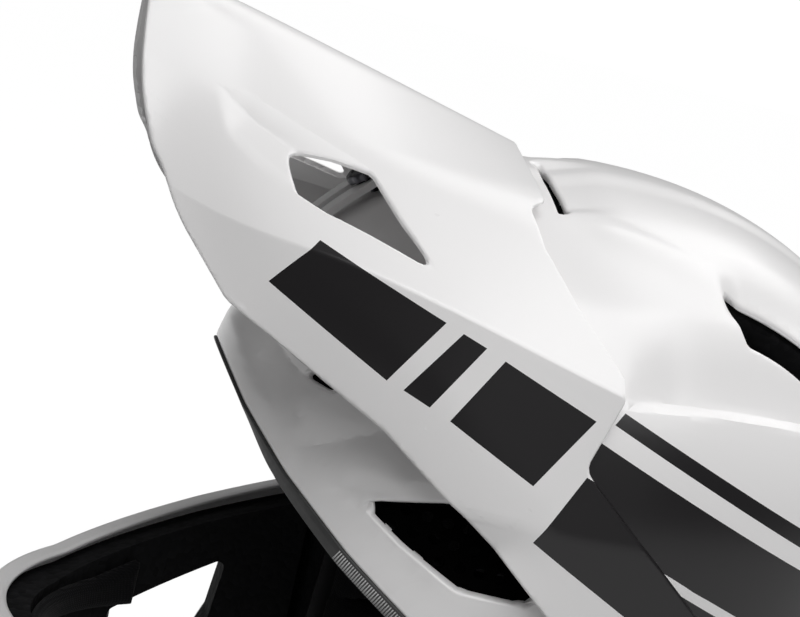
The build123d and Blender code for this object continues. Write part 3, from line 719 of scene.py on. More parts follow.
# each with its depth, its widths to the left and to the right, the length of its ends and whether it
# falls in straight lines
furrows = (
    (ledge_path, 4.2, 34, 4.5, 26),
    (side_vent_path, 6.0, 27, 9, 16),
    (slit_path, 2.6, 24, 2.5, 8),
    (crown_ridge_path, -0.9, 9, 12, 16),
    (brow_crease_path, 3.8, brow_facet, brow_below, 14, True),
    (brow_groove_path, 2.0, 7, 3.5, 12),
    (brow_upper_path, 1.6, 3, 16, 18),
    (chin_line_path, 2.0, 2.5, 18, 30),
)
# and with the distances to its left at which an edge runs beside it
crisp_paths = (
    (ledge_path, (0, -4.5)), (side_vent_path, (0, -9)), (slit_path, (0, -2.5)),
    (brow_crease_path, (0, -brow_below, brow_facet)), (brow_upper_path, (0, 3)),
    (chin_line_path, (0, 2.5)),
)


def shell_relief(points):
    """How far the outer shell's surface is sunk at each point of the skin."""
    sunk = sum(furrow(points, *row) for row in furrows)
    spine = smooth_step((np.abs(points[:, 0]) - 15) / 11) * smooth_step((points[:, 2] - 225) / 22)
    sunk += 1.5 * spine * smooth_step((130 - points[:, 1]) / 40)
    rim = eye_port_depth(points)
    strip = smooth_step((-rim - 10) / 2.5) * smooth_step((-60 - points[:, 1]) / 14)
    sunk += 1.1 * strip * smooth_step((60 + rim) / 30) * (points[:, 2] > 100)
    return sunk * smooth_step((-rim - 0.5) / 7)


def on_skin(corners):
    return skin_points(corners[:, 0], corners[:, 1])


def path_side(points, path, level):
    """Above zero to the left of a line beside a path of the left half and below zero to its right, near
    that line only."""
    distance, side, to_end = beside(left_half(points), drawn_on_skin(path))
    return np.where((np.abs(distance * side - level) < 5) & (to_end > 0), distance * side - level, 1.0)


def cut_skin(angles, rises, keep, rims=()):
    """Parameters and faces of the skin where keep is above zero, with edges along each level in rims."""
    corners, faces = grid(angles, rises)
    corners, faces = cut(corners, faces, keep(on_skin(corners)))
    for level in rims:
        corners, faces = split(corners, faces, keep(on_skin(corners)) - level)
    return corners, faces


def side_depths(points, outline):
    """Distances from each side of a convex outline in the side view, above zero towards its middle."""
    outline = np.asarray(outline, float)
    run = np.roll(outline, -1, 0) - outline
    normal = np.stack([-run[:, 1], run[:, 0]], -1) / np.linalg.norm(run, axis=1)[:, None]
    normal *= np.sign(((outline.mean(0) - outline) * normal).sum(1))[:, None]
    return ((points[:, None, 1:] - outline) * normal).sum(2)


def split_bands(corners, faces, surface, bands):
    """Runs edges along the outlines of painted bands. Each side is drawn only near its own band."""
    for outline in bands:
        for number in range(len(outline)):
            depths = side_depths(surface(corners), outline)
            near = np.delete(depths, number, 1).min(1) > -4
            corners, faces = split(corners, faces, np.where(near, depths[:, number], 1.0))
    return corners, faces


def painted_faces(points, faces, bands, gaps=()):
    """True for each face whose middle lies in a band and in no gap."""
    middle = points[faces].mean(1)
    inside = [side_depths(middle, outline).min(1) > 0 for outline in bands]
    left_out = [side_depths(middle, outline).min(1) > 0 for outline in gaps]
    return np.any(inside, axis=0) & ~np.any(left_out, axis=0) if gaps else np.any(inside, axis=0)


def painted_wall(piece_name, points, inner, faces, painted, degrees):
    """A closed wall whose outer sheet has painted faces."""
    points, whole = walled(points, inner, faces)
    painted = np.concatenate([painted, np.zeros(len(whole) - len(faces), bool)])
    piece = mesh_object(piece_name, points, whole, painted=painted)
    soften(piece, degrees)
    return piece


def rolled(edge, radius):
    """How far a rim is rolled in at some distance from its edge: a quarter circle."""
    near = np.clip(1 - edge / radius, 0, 1)
    return radius * (1 - np.sqrt(1 - near**2))


def shell_keep(points):
    holes = np.max([
        vents_depth(points),
        eye_port_depth(points),
        chin_vent_depth(points),
        mouth_vent_depth(points),
        under_base_depth(points, trim_web),
    ], axis=0)
    return -holes


# Finishes
def new_material(name, colour, roughness, metallic=0.0):
    """A material with its Principled shader set on its own sockets."""
    material = bpy.data.materials.new(name)
    material.use_nodes = True
    tree = material.node_tree
    shader = tree.nodes["Principled BSDF"]
    shader.inputs["Base Color"].default_value = (*colour, 1)
    shader.inputs["Roughness"].default_value = roughness
    shader.inputs["Metallic"].default_value = metallic
    return material, tree, shader


def coordinates(tree, uv=False):
    return tree.nodes.new("ShaderNodeTexCoord").outputs["UV" if uv else "Object"]


def noise(tree, vector, scale, detail=2.0, rough=0.5):
    node = tree.nodes.new("ShaderNodeTexNoise")
    node.inputs["Scale"].default_value = scale
    node.inputs["Detail"].default_value = detail
    node.inputs["Roughness"].default_value = rough
    tree.links.new(vector, node.inputs["Vector"])
    return node.outputs["Fac"]


def spread(tree, value, low, high, from_low=0.0, from_high=1.0):
    node = tree.nodes.new("ShaderNodeMapRange")
    node.inputs["From Min"].default_value = from_low
    node.inputs["From Max"].default_value = from_high
    node.inputs["To Min"].default_value = low
    node.inputs["To Max"].default_value = high
    tree.links.new(value, node.inputs["Value"])
    return node.outputs["Result"]


def blended(tree, share, first, second):
    node = tree.nodes.new("ShaderNodeMix")
    node.data_type = "RGBA"
    node.inputs[6].default_value = (*first, 1)
    node.inputs[7].default_value = (*second, 1)
    tree.links.new(share, node.inputs[0])
    return node.outputs[2]


def combined(tree, operation, first, second):
    node = tree.nodes.new("ShaderNodeMath")
    node.operation = operation
    for value, socket in ((first, node.inputs[0]), (second, node.inputs[1])):
        if isinstance(value, (int, float)):
            socket.default_value = value
        else:
            tree.links.new(value, socket)
    return node.outputs[0]


def bumped(tree, shader, height, strength, depth):
    """Raises the surface by a height pattern, depth metres from its lowest to its highest."""
    node = tree.nodes.new("ShaderNodeBump")
    node.inputs["Strength"].default_value = strength
    node.inputs["Distance"].default_value = depth
    tree.links.new(height, node.inputs["Height"])
    tree.links.new(node.outputs["Normal"], shader.inputs["Normal"])


def lacquer(name, colour, grime, coat, shine):
    """Clear-coated paint: a faint orange peel and soft changes of shade."""
    material, tree, shader = new_material(name, colour, 0.3)
    place = coordinates(tree)
    cloud = noise(tree, place, 9, 1)
    tint = tuple(part * grime for part in colour)
    tinted = blended(tree, spread(tree, cloud, 0, 1, 0.35, 0.75), colour, tint)
    tree.links.new(tinted, shader.inputs["Base Color"])
    tree.links.new(spread(tree, noise(tree, place, 120, 2), 0.27, 0.29), shader.inputs["Roughness"])
    shader.inputs["Specular IOR Level"].default_value = shine
    shader.inputs["Coat Weight"].default_value = coat
    shader.inputs["Coat Roughness"].default_value = 0.22
    bumped(tree, shader, noise(tree, place, 700, 1), 0.02, 0.0001)
    return material


def rubber(name, colour):
    """Matt rubber with a fine grain and slightly paler worn patches."""
    material, tree, shader = new_material(name, colour, 0.55)
    place = coordinates(tree)
    pale = tuple(part * 2.2 for part in colour)
    tree.links.new(blended(tree, spread(tree, noise(tree, place, 60, 4), 0, 1, 0.4, 0.8), colour, pale),
                   shader.inputs["Base Color"])
    tree.links.new(spread(tree, noise(tree, place, 500, 2), 0.42, 0.62), shader.inputs["Roughness"])
    bumped(tree, shader, noise(tree, place, 2600, 2), 0.35, 0.0002)
    return material


def foam(name, colour, bead):
    """Moulded bead foam: each bead is a cell, domed, with its own shade."""
    material, tree, shader = new_material(name, colour, 0.85)
    shader.inputs["Specular IOR Level"].default_value = 0.15
    place = coordinates(tree)
    cells = tree.nodes.new("ShaderNodeTexVoronoi")
    cells.inputs["Scale"].default_value = 1 / (bead * millimetre)
    tree.links.new(place, cells.inputs["Vector"])
    shade = tuple(part * 2.4 for part in colour)
    channel = tree.nodes.new("ShaderNodeSeparateColor")
    tree.links.new(cells.outputs["Color"], channel.inputs["Color"])
    tree.links.new(blended(tree, channel.outputs[0], colour, shade), shader.inputs["Base Color"])
    domes = spread(tree, cells.outputs["Distance"], 1, 0, 0, 0.8)
    bumped(tree, shader, domes, 0.5, 0.0005)
    return material


def cloth(name, colour, pitch):
    """Brushed knit: crossed ribs of thread at one pitch, broken up by noise, with a soft sheen."""
    material, tree, shader = new_material(name, colour, 0.85)
    place = coordinates(tree)
    rows = []
    for direction in ("X", "Z"):
        wave = tree.nodes.new("ShaderNodeTexWave")
        wave.bands_direction = direction
        wave.inputs["Scale"].default_value = 1 / (pitch * millimetre) / (2 * math.pi) * 2
        wave.inputs["Distortion"].default_value = 1.2
        tree.links.new(place, wave.inputs["Vector"])
        rows.append(wave.outputs["Fac"])
    weave = combined(tree, "MULTIPLY", *rows)
    fuzz = noise(tree, place, 900, 3)
    height = combined(tree, "ADD", weave, combined(tree, "MULTIPLY", fuzz, 0.6))
    light = tuple(part * 2.4 for part in colour)
    tree.links.new(blended(tree, height, colour, light), shader.inputs["Base Color"])
    shader.inputs["Sheen Weight"].default_value = 0.06
    shader.inputs["Sheen Roughness"].default_value = 0.5
    shader.inputs["Specular IOR Level"].default_value = 0.1
    bumped(tree, shader, height, 0.5, 0.0003)
    return material


def webbing(name, colour, pitch):
    """Flat woven webbing: herringbone ribs that follow the strap by its own map."""
    material, tree, shader = new_material(name, colour, 0.7)
    place = coordinates(tree, uv=True)
    mapping = tree.nodes.new("ShaderNodeMapping")
    mapping.inputs["Scale"].default_value = (1 / (pitch * millimetre), 26, 1)
    mapping.inputs["Rotation"].default_value = (0, 0, 0.5)
    tree.links.new(place, mapping.inputs["Vector"])
    wave = tree.nodes.new("ShaderNodeTexWave")
    wave.inputs["Scale"].default_value = 0.32
    wave.inputs["Distortion"].default_value = 0.4
    tree.links.new(mapping.outputs["Vector"], wave.inputs["Vector"])
    light = tuple(part * 3 for part in colour)
    tree.links.new(blended(tree, wave.outputs["Fac"], colour, light), shader.inputs["Base Color"])
    shader.inputs["Sheen Weight"].default_value = 0.2
    bumped(tree, shader, wave.outputs["Fac"], 0.6, 0.0003)
    return material


def moulded(name, colour, shine):
    """Satin moulded plastic with a spark-eroded grain."""
    material, tree, shader = new_material(name, colour, 0.5)
    shader.inputs["Specular IOR Level"].default_value = shine
    place = coordinates(tree)
    tree.links.new(spread(tree, noise(tree, place, 240, 3), 0.38, 0.58), shader.inputs["Roughness"])
    pale = tuple(part * 1.8 for part in colour)
    tree.links.new(blended(tree, noise(tree, place, 45, 3), colour, pale), shader.inputs["Base Color"])
    bumped(tree, shader, noise(tree, place, 1800, 2), 0.3, 0.0002)
    return material


def metal(name, colour, roughness):
    """Plated or anodised metal with turning marks and handling smears."""
    material, tree, shader = new_material(name, colour, roughness, 1.0)
    place = coordinates(tree)
    smear = noise(tree, place, 90, 4)
    tree.links.new(spread(tree, smear, roughness * 0.7, roughness * 1.5), shader.inputs["Roughness"])
    dull = tuple(part * 0.8 for part in colour)
    dulled = blended(tree, spread(tree, smear, 0, 1, 0.4, 0.7), colour, dull)
    tree.links.new(dulled, shader.inputs["Base Color"])
    bumped(tree, shader, noise(tree, place, 1500, 2), 0.12, 0.0001)
    return material


class HelmetColours(bpy.types.PropertyGroup):
    """Colours of the helmet's finishes."""

    paint: FloatVectorProperty(
        name="Paint", description="White of the shell and the peak", subtype="COLOR", size=3, min=0, max=1,
        default=(0.86, 0.85, 0.85))
    graphic: FloatVectorProperty(
        name="Graphic", description="Black of the stripes", subtype="COLOR", size=3, min=0, max=1,
        default=(0.009, 0.008, 0.009))
    rubber: FloatVectorProperty(
        name="Rubber", description="Rim trims", subtype="COLOR", size=3, min=0, max=1,
        default=(0.018, 0.018, 0.018))
    foam: FloatVectorProperty(
        name="Foam", description="Moulded liners", subtype="COLOR", size=3, min=0, max=1,
        default=(0.005, 0.005, 0.0055))
    # the pads' black knit made darker still: painted shade, so that the lit chin pad reads as dark as the
    # shaded inside of the chin bar
    cloth: FloatVectorProperty(
        name="Cloth", description="Comfort pads", subtype="COLOR", size=3, min=0, max=1,
        default=(0.004, 0.004, 0.0045))
    webbing: FloatVectorProperty(
        name="Webbing", description="Chin straps", subtype="COLOR", size=3, min=0, max=1,
        default=(0.014, 0.014, 0.015))


class HelmetSizes(bpy.types.PropertyGroup):
    """Sizes of the dressed pieces, in metres."""

    rim_roll: FloatProperty(
        name="Rim roll", description="Radius of the shell's rolled rims", subtype="DISTANCE",
        default=1.6 * millimetre, min=0, max=0.003)
    trim_rib: FloatProperty(
        name="Trim rib", description="Pitch of the ribs on the eye port's trim", subtype="DISTANCE",
        default=1.0 * millimetre, min=0.0005, max=0.005)


made_materials = {}


def finish_of(name):
    """The finish with that name, made once."""
    if name in made_materials:
        return made_materials[name]
    colours = bpy.context.scene.helmet_colours
    makers = {
        "gloss_white": lambda: lacquer("gloss_white", tuple(colours.paint), 0.995, 0.4, 0.5),
        "gloss_black": lambda: lacquer("gloss_black", tuple(colours.graphic), 1.3, 0.15, 0.3),
        "rim_rubber": lambda: rubber("rim_rubber", tuple(colours.rubber)),
        "bead_foam": lambda: foam("bead_foam", tuple(colours.foam), 3.2),
        # black knit darkened further as painted shade
        "pad_knit_and_painted_shade": lambda: cloth("pad_knit_and_painted_shade", tuple(colours.cloth), 0.9),
        "strap_webbing": lambda: webbing("strap_webbing", tuple(colours.webbing), 1.6),
        # the ribs' rubber: the trim's colour fifteen times paler, a painted highlight where light catches the
        # ribs
        "rib_rubber_painted_highlight": lambda: rubber("rib_rubber_painted_highlight", tuple(part * 15 for part in colours.rubber)),
        "satin_black": lambda: moulded("satin_black", (0.014, 0.014, 0.015), 0.4),
        # the brow screens' black plastic, made far darker and without specular: painted shade for the dark
        # inside of the brow vents
        "screen_black_painted_shade": lambda: moulded("screen_black_painted_shade", (0.001, 0.001, 0.001), 0.0),
        "plated_steel": lambda: metal("plated_steel", (0.55, 0.55, 0.56), 0.28),
        "black_anodised": lambda: metal("black_anodised", (0.05, 0.05, 0.055), 0.34),
        "polished_wire": lambda: metal("polished_wire", (0.74, 0.74, 0.76), 0.14),
    }
    made_materials[name] = makers[name]()
    return made_materials[name]


# Peak's surface
def peak_line(values):
    """One section of the peak from the middle plane out: corners at the ridge, the roof's middle, the
    crease, the knee and the foot, for each row of station values."""
    y, crease_x, crease_z, knee, foot, arch = values.T
    crease_x = crease_x * shell_half_width
    crease_z = crease_z * peak_tip_height
    ridge_z = peak_tip_height - (peak_tip_reach + y) * math.tan(math.radians(peak_slope))
    middle_x = crease_x * roof_middle_share
    middle_z = ridge_z + (crease_z - ridge_z) * roof_middle_share + peak_tip_height * arch
    slope = np.arctan((ridge_z - middle_z) / middle_x)
    apex_z = ridge_z + peak_ridge_radius * (1 / np.cos(slope) - 1)
    knee_z, foot_z = (np.full(len(y), height) for height in (shell_equator * peak_knee_share, peak_foot_height))
    xs = [0 * y, middle_x, crease_x, knee * shell_half_width, foot * shell_half_width]
    zs = [apex_z, middle_z, crease_z, knee_z, foot_z]
    return np.stack([np.stack(xs, -1), np.stack(zs, -1)], -1)


def peak_points(y, across):
    """The peak's outer face as a function of y and of a run across: zero on the ridge, one for each
    corner passed, below zero on the right. Corners are rounded by quadratic curves between the ends of
    their arcs."""
    stations = np.array(peak_station_shares)
    rows, where = np.unique(y, return_inverse=True)
    values = cubic_through(-peak_tip_reach * stations[:, 0], stations[:, 1:], rows)
    corners = peak_line(np.column_stack([rows, values]))
    radii = np.array([peak_ridge_radius, peak_middle_radius, peak_crease_radius, peak_knee_radius])
    mirror_first = corners[:, 1:2] * (-1, 1)
    line = np.concatenate([mirror_first, corners], 1)
    run = np.diff(line, axis=1)
    length = np.linalg.norm(run, axis=2)
    run = run / length[:, :, None]
    turn = np.arccos(np.clip((run[:, :-1] * run[:, 1:]).sum(2), -1, 1))
    reach = np.minimum(radii * np.tan(turn / 2), 0.49 * np.minimum(length[:, :-1], length[:, 1:]))
    side = np.where(across < 0, -1.0, 1.0)
    amount = np.abs(across)
    where = where.ravel()
    corner = np.clip(np.round(amount).astype(int), 0, 3)
    offset = amount - corner
    before, after = run[where, corner], run[where, corner + 1]
    here = corners[where, corner]
    bend = reach[where, corner]
    travel = offset * np.where(offset < 0, length[where, corner], length[where, corner + 1])
    share = np.clip((travel + bend) / np.maximum(2 * bend, 1e-9), 0, 1)[:, None]
    start, end = here - before * bend[:, None], here + after * bend[:, None]
    curve = (1 - share) ** 2 * start + 2 * share * (1 - share) * here + share**2 * end
    straight = here + np.where(travel < 0, travel, 0)[:, None] * before
    straight = straight + np.where(travel > 0, travel, 0)[:, None] * after
    flat = np.where(np.abs(travel)[:, None] < bend[:, None], curve, straight)
    return np.stack([flat[:, 0] * side, y, flat[:, 1]], -1)


def peak_outline():
    """The peak's outline in the side view, round the arm's end."""
    angle = math.radians(arm_slope)
    along = np.array([math.cos(angle), -math.sin(angle)])
    up = np.array([math.sin(angle), math.cos(angle)])
    pivot = np.array([pivot_y, pivot_height])
    lower = scaled(peak_lower_shares, peak_tip_reach, peak_tip_height)
    upper = scaled(peak_upper_shares, peak_tip_reach, peak_tip_height)
    ends = [pivot + (along - up) * arm_half_width, pivot + (along + up) * arm_half_width]
    arm_radius = arm_half_width * arm_round_share
    radii = [*[peak_edge_radius] * len(lower), arm_radius, arm_radius, *[peak_corner_radius] * len(upper)]
    return rounded(np.concatenate([lower, ends, upper]), radii, 12)


def peak_turn(points):
    """How far the flank's lower edge is turned in: the square of the run from where the turn starts. It
    fades out towards the tip and before the arm passes the shell."""
    lower = scaled(peak_lower_shares, peak_tip_reach, peak_tip_height)
    near = np.clip(1 - line_gap(points[:, 1:], lower) / peak_turn_width, 0, 1)
    fade = smooth_step((points[:, 1] + peak_tip_reach * 0.9) / 60) * smooth_step((-15 - points[:, 1]) / 25)
    return peak_turn_depth * near**2 * fade


def peak_above(shares):
    return scaled(shares, shell_half_width, peak_tip_reach)


def rectangle(half, low, high):
    return np.array([(-half, low), (half, low), (half, high), (-half, high)], float)


def both_halves(points):
    return np.concatenate([points, points[::-1] * (-1, 1)])


def peak_keep(points):
    """Above zero where the peak has material. Where the side outline and the plan outline meet, the
    corner is rounded: the lesser depth loses the square of what the two lack in difference."""
    flat = points[:, :2]
    half = plan_half(points)
    side = depth_inside(points[:, 1:], peak_outline())
    plan = depth_inside(flat, rounded(both_halves(peak_above(peak_plan_shares)), peak_lead_radius))
    rear = depth_inside(flat, rounded(both_halves(peak_above(peak_rear_shares)), peak_corner_radius))
    rear = np.minimum(rear, points[:, 2] - peak_rear_floor)
    vent = depth_inside(half, rounded(peak_above(peak_vent_shares), vent_radius))
    vent = np.minimum(vent, points[:, 2] - shell_equator)
    blend = np.maximum(peak_corner_blend - np.abs(side - plan), 0)
    front = np.minimum(side, plan) - blend**2 / (4 * peak_corner_blend)
    return np.min([front, -rear, -vent], axis=0)


def line_gap(points, line):
    """Distance from flat points to an open line."""
    nearest = np.full(len(points), np.inf)
    for start, end in zip(line, line[1:]):
        run = end - start
        along = np.clip((points - start) @ run / (run @ run), 0, 1)
        nearest = np.minimum(nearest, ((points - start - along[:, None] * run) ** 2).sum(1))
    return np.sqrt(nearest)


def hollow_sides(points):
    """Depth inside the hollow's outline, and distances from its crisp inner edge and its soft outer one."""
    half = plan_half(points)
    inner, outer = peak_above(peak_hollow_inner_shares), peak_above(peak_hollow_outer_shares)
    inside = depth_inside(half, np.concatenate([inner, outer]))
    inside = np.minimum(inside, points[:, 2] - shell_equator)
    outer = np.concatenate([inner[-1:], outer, inner[:1]])
    return inside, line_gap(half, inner), line_gap(half, outer)


def peak_hollow(points):
    """How far the roof is sunk where it leads into the vent: a wall falls from the crisp inner edge and a
    ramp from the soft outer one, to a valley between them."""
    inside, wall, ramp = hollow_sides(points)
    sunk = np.minimum(wall * peak_hollow_wall_slope, ramp * peak_hollow_ramp_slope * smooth_step(ramp / 5))
    return np.minimum(sunk, peak_hollow_depth) * (inside > 0)


def peak_surface(corners):
    return peak_points(corners[:, 0], corners[:, 1])


class HELMET_OT_peak(bpy.types.Operator):
    """Peak with its ridge, creases, vents and side arms"""

    bl_idname = "helmet.peak"
    bl_label = "Peak"

    def execute(self, context):
        across = np.concatenate([np.linspace(0, 3.999, 121), 1 + peak_bend_places, 2 + peak_bend_places / 2,
                                 3 + peak_bend_places])
        across = np.unique(np.round(np.concatenate([-across, across]), 5))
        along = np.linspace(-peak_tip_reach * 1.06, pivot_y + 2 * arm_half_width, 131)
        corners, faces = grid(along, across)
        corners, faces = cut(corners, faces, peak_keep(peak_surface(corners)))
        for level in (0.35, 0.9):
            corners, faces = split(corners, faces, peak_keep(peak_surface(corners)) - level)
        corners, faces = split(corners, faces, hollow_sides(peak_surface(corners))[0])
        corners, faces = split_bands(corners, faces, peak_surface, peak_bands + peak_gaps)
        flat, faces = joined(peak_surface(corners), faces)
        faces = outward_faces(flat, faces)
        edge = rolled(np.maximum(peak_keep(flat), 0), peak_edge_lift) + peak_turn(flat)
        points = flat - corner_normals(flat, faces) * edge[:, None]
        points[:, 2] -= peak_hollow(flat)
        painted = painted_faces(flat, faces, peak_bands, peak_gaps)
        painted &= np.abs(flat[faces, 0]).min(1) > shell_half_width / 4
        inner = points - corner_normals(points, faces) * peak_wall
        piece = painted_wall("peak_body", points, inner, faces, painted, 28)
        finish_piece(piece, "peak", "gloss_shell", finish_of("gloss_white"), "peak",
                     second=finish_of("gloss_black"))
        self.brace()
        return {"FINISHED"}

    def brace(self):
        """The tab under the roof that the brace screw clamps: part of a tube about the tilt's axis, with
        a slot as long as the tilt. Its upper end follows the roof's two slopes, inside the wall."""
        half, low, high = brace_half_width, math.radians(brace_low_angle), math.radians(brace_high_angle)
        corners, faces = grid(np.linspace(-half - 0.4, half + 0.4, 49), np.linspace(low - 0.002, high, 110))
        flat = corners * (1, brace_radius)
        tab = rectangle(half, low * brace_radius, high * brace_radius + brace_overrun)
        tab = rounded(tab, brace_corner_radius)
        ends = np.radians(brace_slot_angles) * brace_radius
        slot = rounded(rectangle(brace_slot_half_width, *ends), brace_slot_half_width)
        under_roof = (high - np.abs(flat[:, 0]) * brace_end_slope) * brace_radius - flat[:, 1]
        keep = np.min([depth_inside(flat, tab), -depth_inside(flat, slot), under_roof], axis=0)
        corners, faces = cut(corners, faces, keep)
        x, angle = corners.T
        outer, inner = (
            np.stack([x, pivot_y - radius * np.cos(angle), pivot_height + radius * np.sin(angle)], -1)
            for radius in (brace_radius + brace_thickness, brace_radius)
        )
        outer, faces, inner = joined(outer, faces, inner)
        piece = mesh_object("peak_brace", *walled(outer, inner, outward_faces(outer, faces)))
        soften(piece, 40)
        finish_piece(piece, "peak", "gloss_shell", finish_of("gloss_white"), "peak")


class HELMET_OT_shell(bpy.types.Operator):
    """Outer shell with its vents, ridges and rolled rims"""

    bl_idname = "helmet.shell"
    bl_label = "Outer shell"

    def execute(self, context):
        roll = context.scene.helmet_sizes.rim_roll / millimetre
        rises = np.unique(np.concatenate([np.linspace(-1.3, np.pi / 2, 93), np.linspace(1.03, 1.32, 17)]))
        corners, faces = cut_skin(np.linspace(-np.pi, np.pi, 231), rises, shell_keep,
                                  (roll * 0.25, roll * 0.6, roll))
        for path, levels in crisp_paths:
            for level in levels:
                corners, faces = split(corners, faces, path_side(on_skin(corners), path, level))
        corners, faces = split_bands(corners, faces, on_skin, shell_bands + shell_gaps)
        flat = on_skin(corners)
        sunk = shell_relief(flat) + rolled(np.maximum(shell_keep(flat), 0), roll)
        outer = skin_points(corners[:, 0], corners[:, 1], sunk)
        inner = skin_points(corners[:, 0], corners[:, 1], np.maximum(sunk, 0) * 0.6 + shell_wall)
        outer, faces, inner, flat = joined(outer, faces, inner, flat)
        faces = outward_faces(outer, faces)
        painted = painted_faces(flat, faces, shell_bands, shell_gaps)
        painted &= np.abs(flat[faces, 0]).min(1) > shell_half_width / 4
        piece = painted_wall("shell_body", outer, inner, faces, painted, 32)
        finish_piece(piece, "helmet", "gloss_shell", finish_of("gloss_white"), "outer_shell",
                     second=finish_of("gloss_black"))
        self.flange()
        return {"FINISHED"}

    def flange(self):
        """The chin bar's edge rolls in along the eye port: a rounded strip as wide as the ledge."""
        path = eye_port_rim(True)
        path = path[path[:, 1] < -shell_brow_reach * 0.5]
        side, up = rim_frame(path)
        w = chin_ledge_width
        outline = [(0.6, -0.2), (-0.9, -0.9), (-1.3, -2.4), (-1.2, -w * 0.8), (-0.6, -w), (0.8, -w),
                   (1.5, -w * 0.8), (1.8, -3.4), (2.6, -1.2)]
        piece = carried("chin_flange", path, side, up, rounded(outline, 0.8, 4))
        finish_piece(piece, "helmet", "gloss_shell", finish_of("gloss_white"), "outer_shell")


# heights between which each half of the rim is looked for, where its side starts and its last angle
rim_lower_heights = (30.0, 96.0)
rim_upper_heights = (104.0, 205.0)
rim_side_share = 0.53
rim_middle_share = 0.69
rim_last_angle = 1.35


def eye_port_rim(lower, count=160):
    """The line where the eye port meets the skin, from the left rear corner round the front to the
    right: at each angle round the head the height is halved in on the outline."""
    low, high = rim_lower_heights if lower else rim_upper_heights
    angles = np.linspace(0, rim_last_angle, count)
    bottom, top = np.full(count, low), np.full(count, high)
    for _ in range(30):
        middle = (bottom + top) / 2
        points = skin_points(angles, rise_at(middle))
        inside = eye_port_depth(points) > 0
        if lower:
            top = np.where(inside, middle, top)
            bottom = np.where(inside, bottom, middle)
        else:
            bottom = np.where(inside, middle, bottom)
            top = np.where(inside, top, middle)
    points = skin_points(angles, rise_at((bottom + top) / 2))
    points = points[points[:, 1] < -shell_brow_reach * rim_side_share]
    outline = rounded(side_points(eye_port_shares), eye_port_radius)
    middle_height = shell_equator * rim_middle_share
    chosen = outline[(outline[:, 0] > points[-1, 1] + 1) & (outline[:, 0] < 0)]
    chosen = chosen[chosen[:, 1] < middle_height] if lower else chosen[chosen[:, 1] >= middle_height]
    chosen = chosen[np.argsort(chosen[:, 0])]
    corner = np.column_stack([skin_beside(chosen[:, 0], chosen[:, 1]), chosen])
    half = np.concatenate([points, corner])
    whole = np.concatenate([half[::-1], half[1:] * (-1, 1, 1)])
    return evenly(whole, 2.0)


def skin_normal(points):
    """Outward direction of the skin: the gradient of its superellipses by small steps."""
    steps = np.eye(3) * 0.05
    slope = np.stack([skin_level(points + step) - skin_level(points - step) for step in steps], -1)
    return slope / np.linalg.norm(slope, axis=1)[:, None]


def rim_frame(path):
    """Two directions across a path on the skin: along the surface away from the opening, and out."""
    run = np.gradient(path, axis=0)
    run /= np.linalg.norm(run, axis=1)[:, None]
    up = skin_normal(path)
    side = np.cross(run, up)
    side /= np.linalg.norm(side, axis=1)[:, None]
    probe = eye_port_depth(path + side * 2) - eye_port_depth(path - side * 2)
    side = side * np.where(np.median(probe) > 0, -1, 1)
    up = np.cross(side, run)
    up *= np.sign((up * skin_normal(path)).sum(1))[:, None]
    return side, up


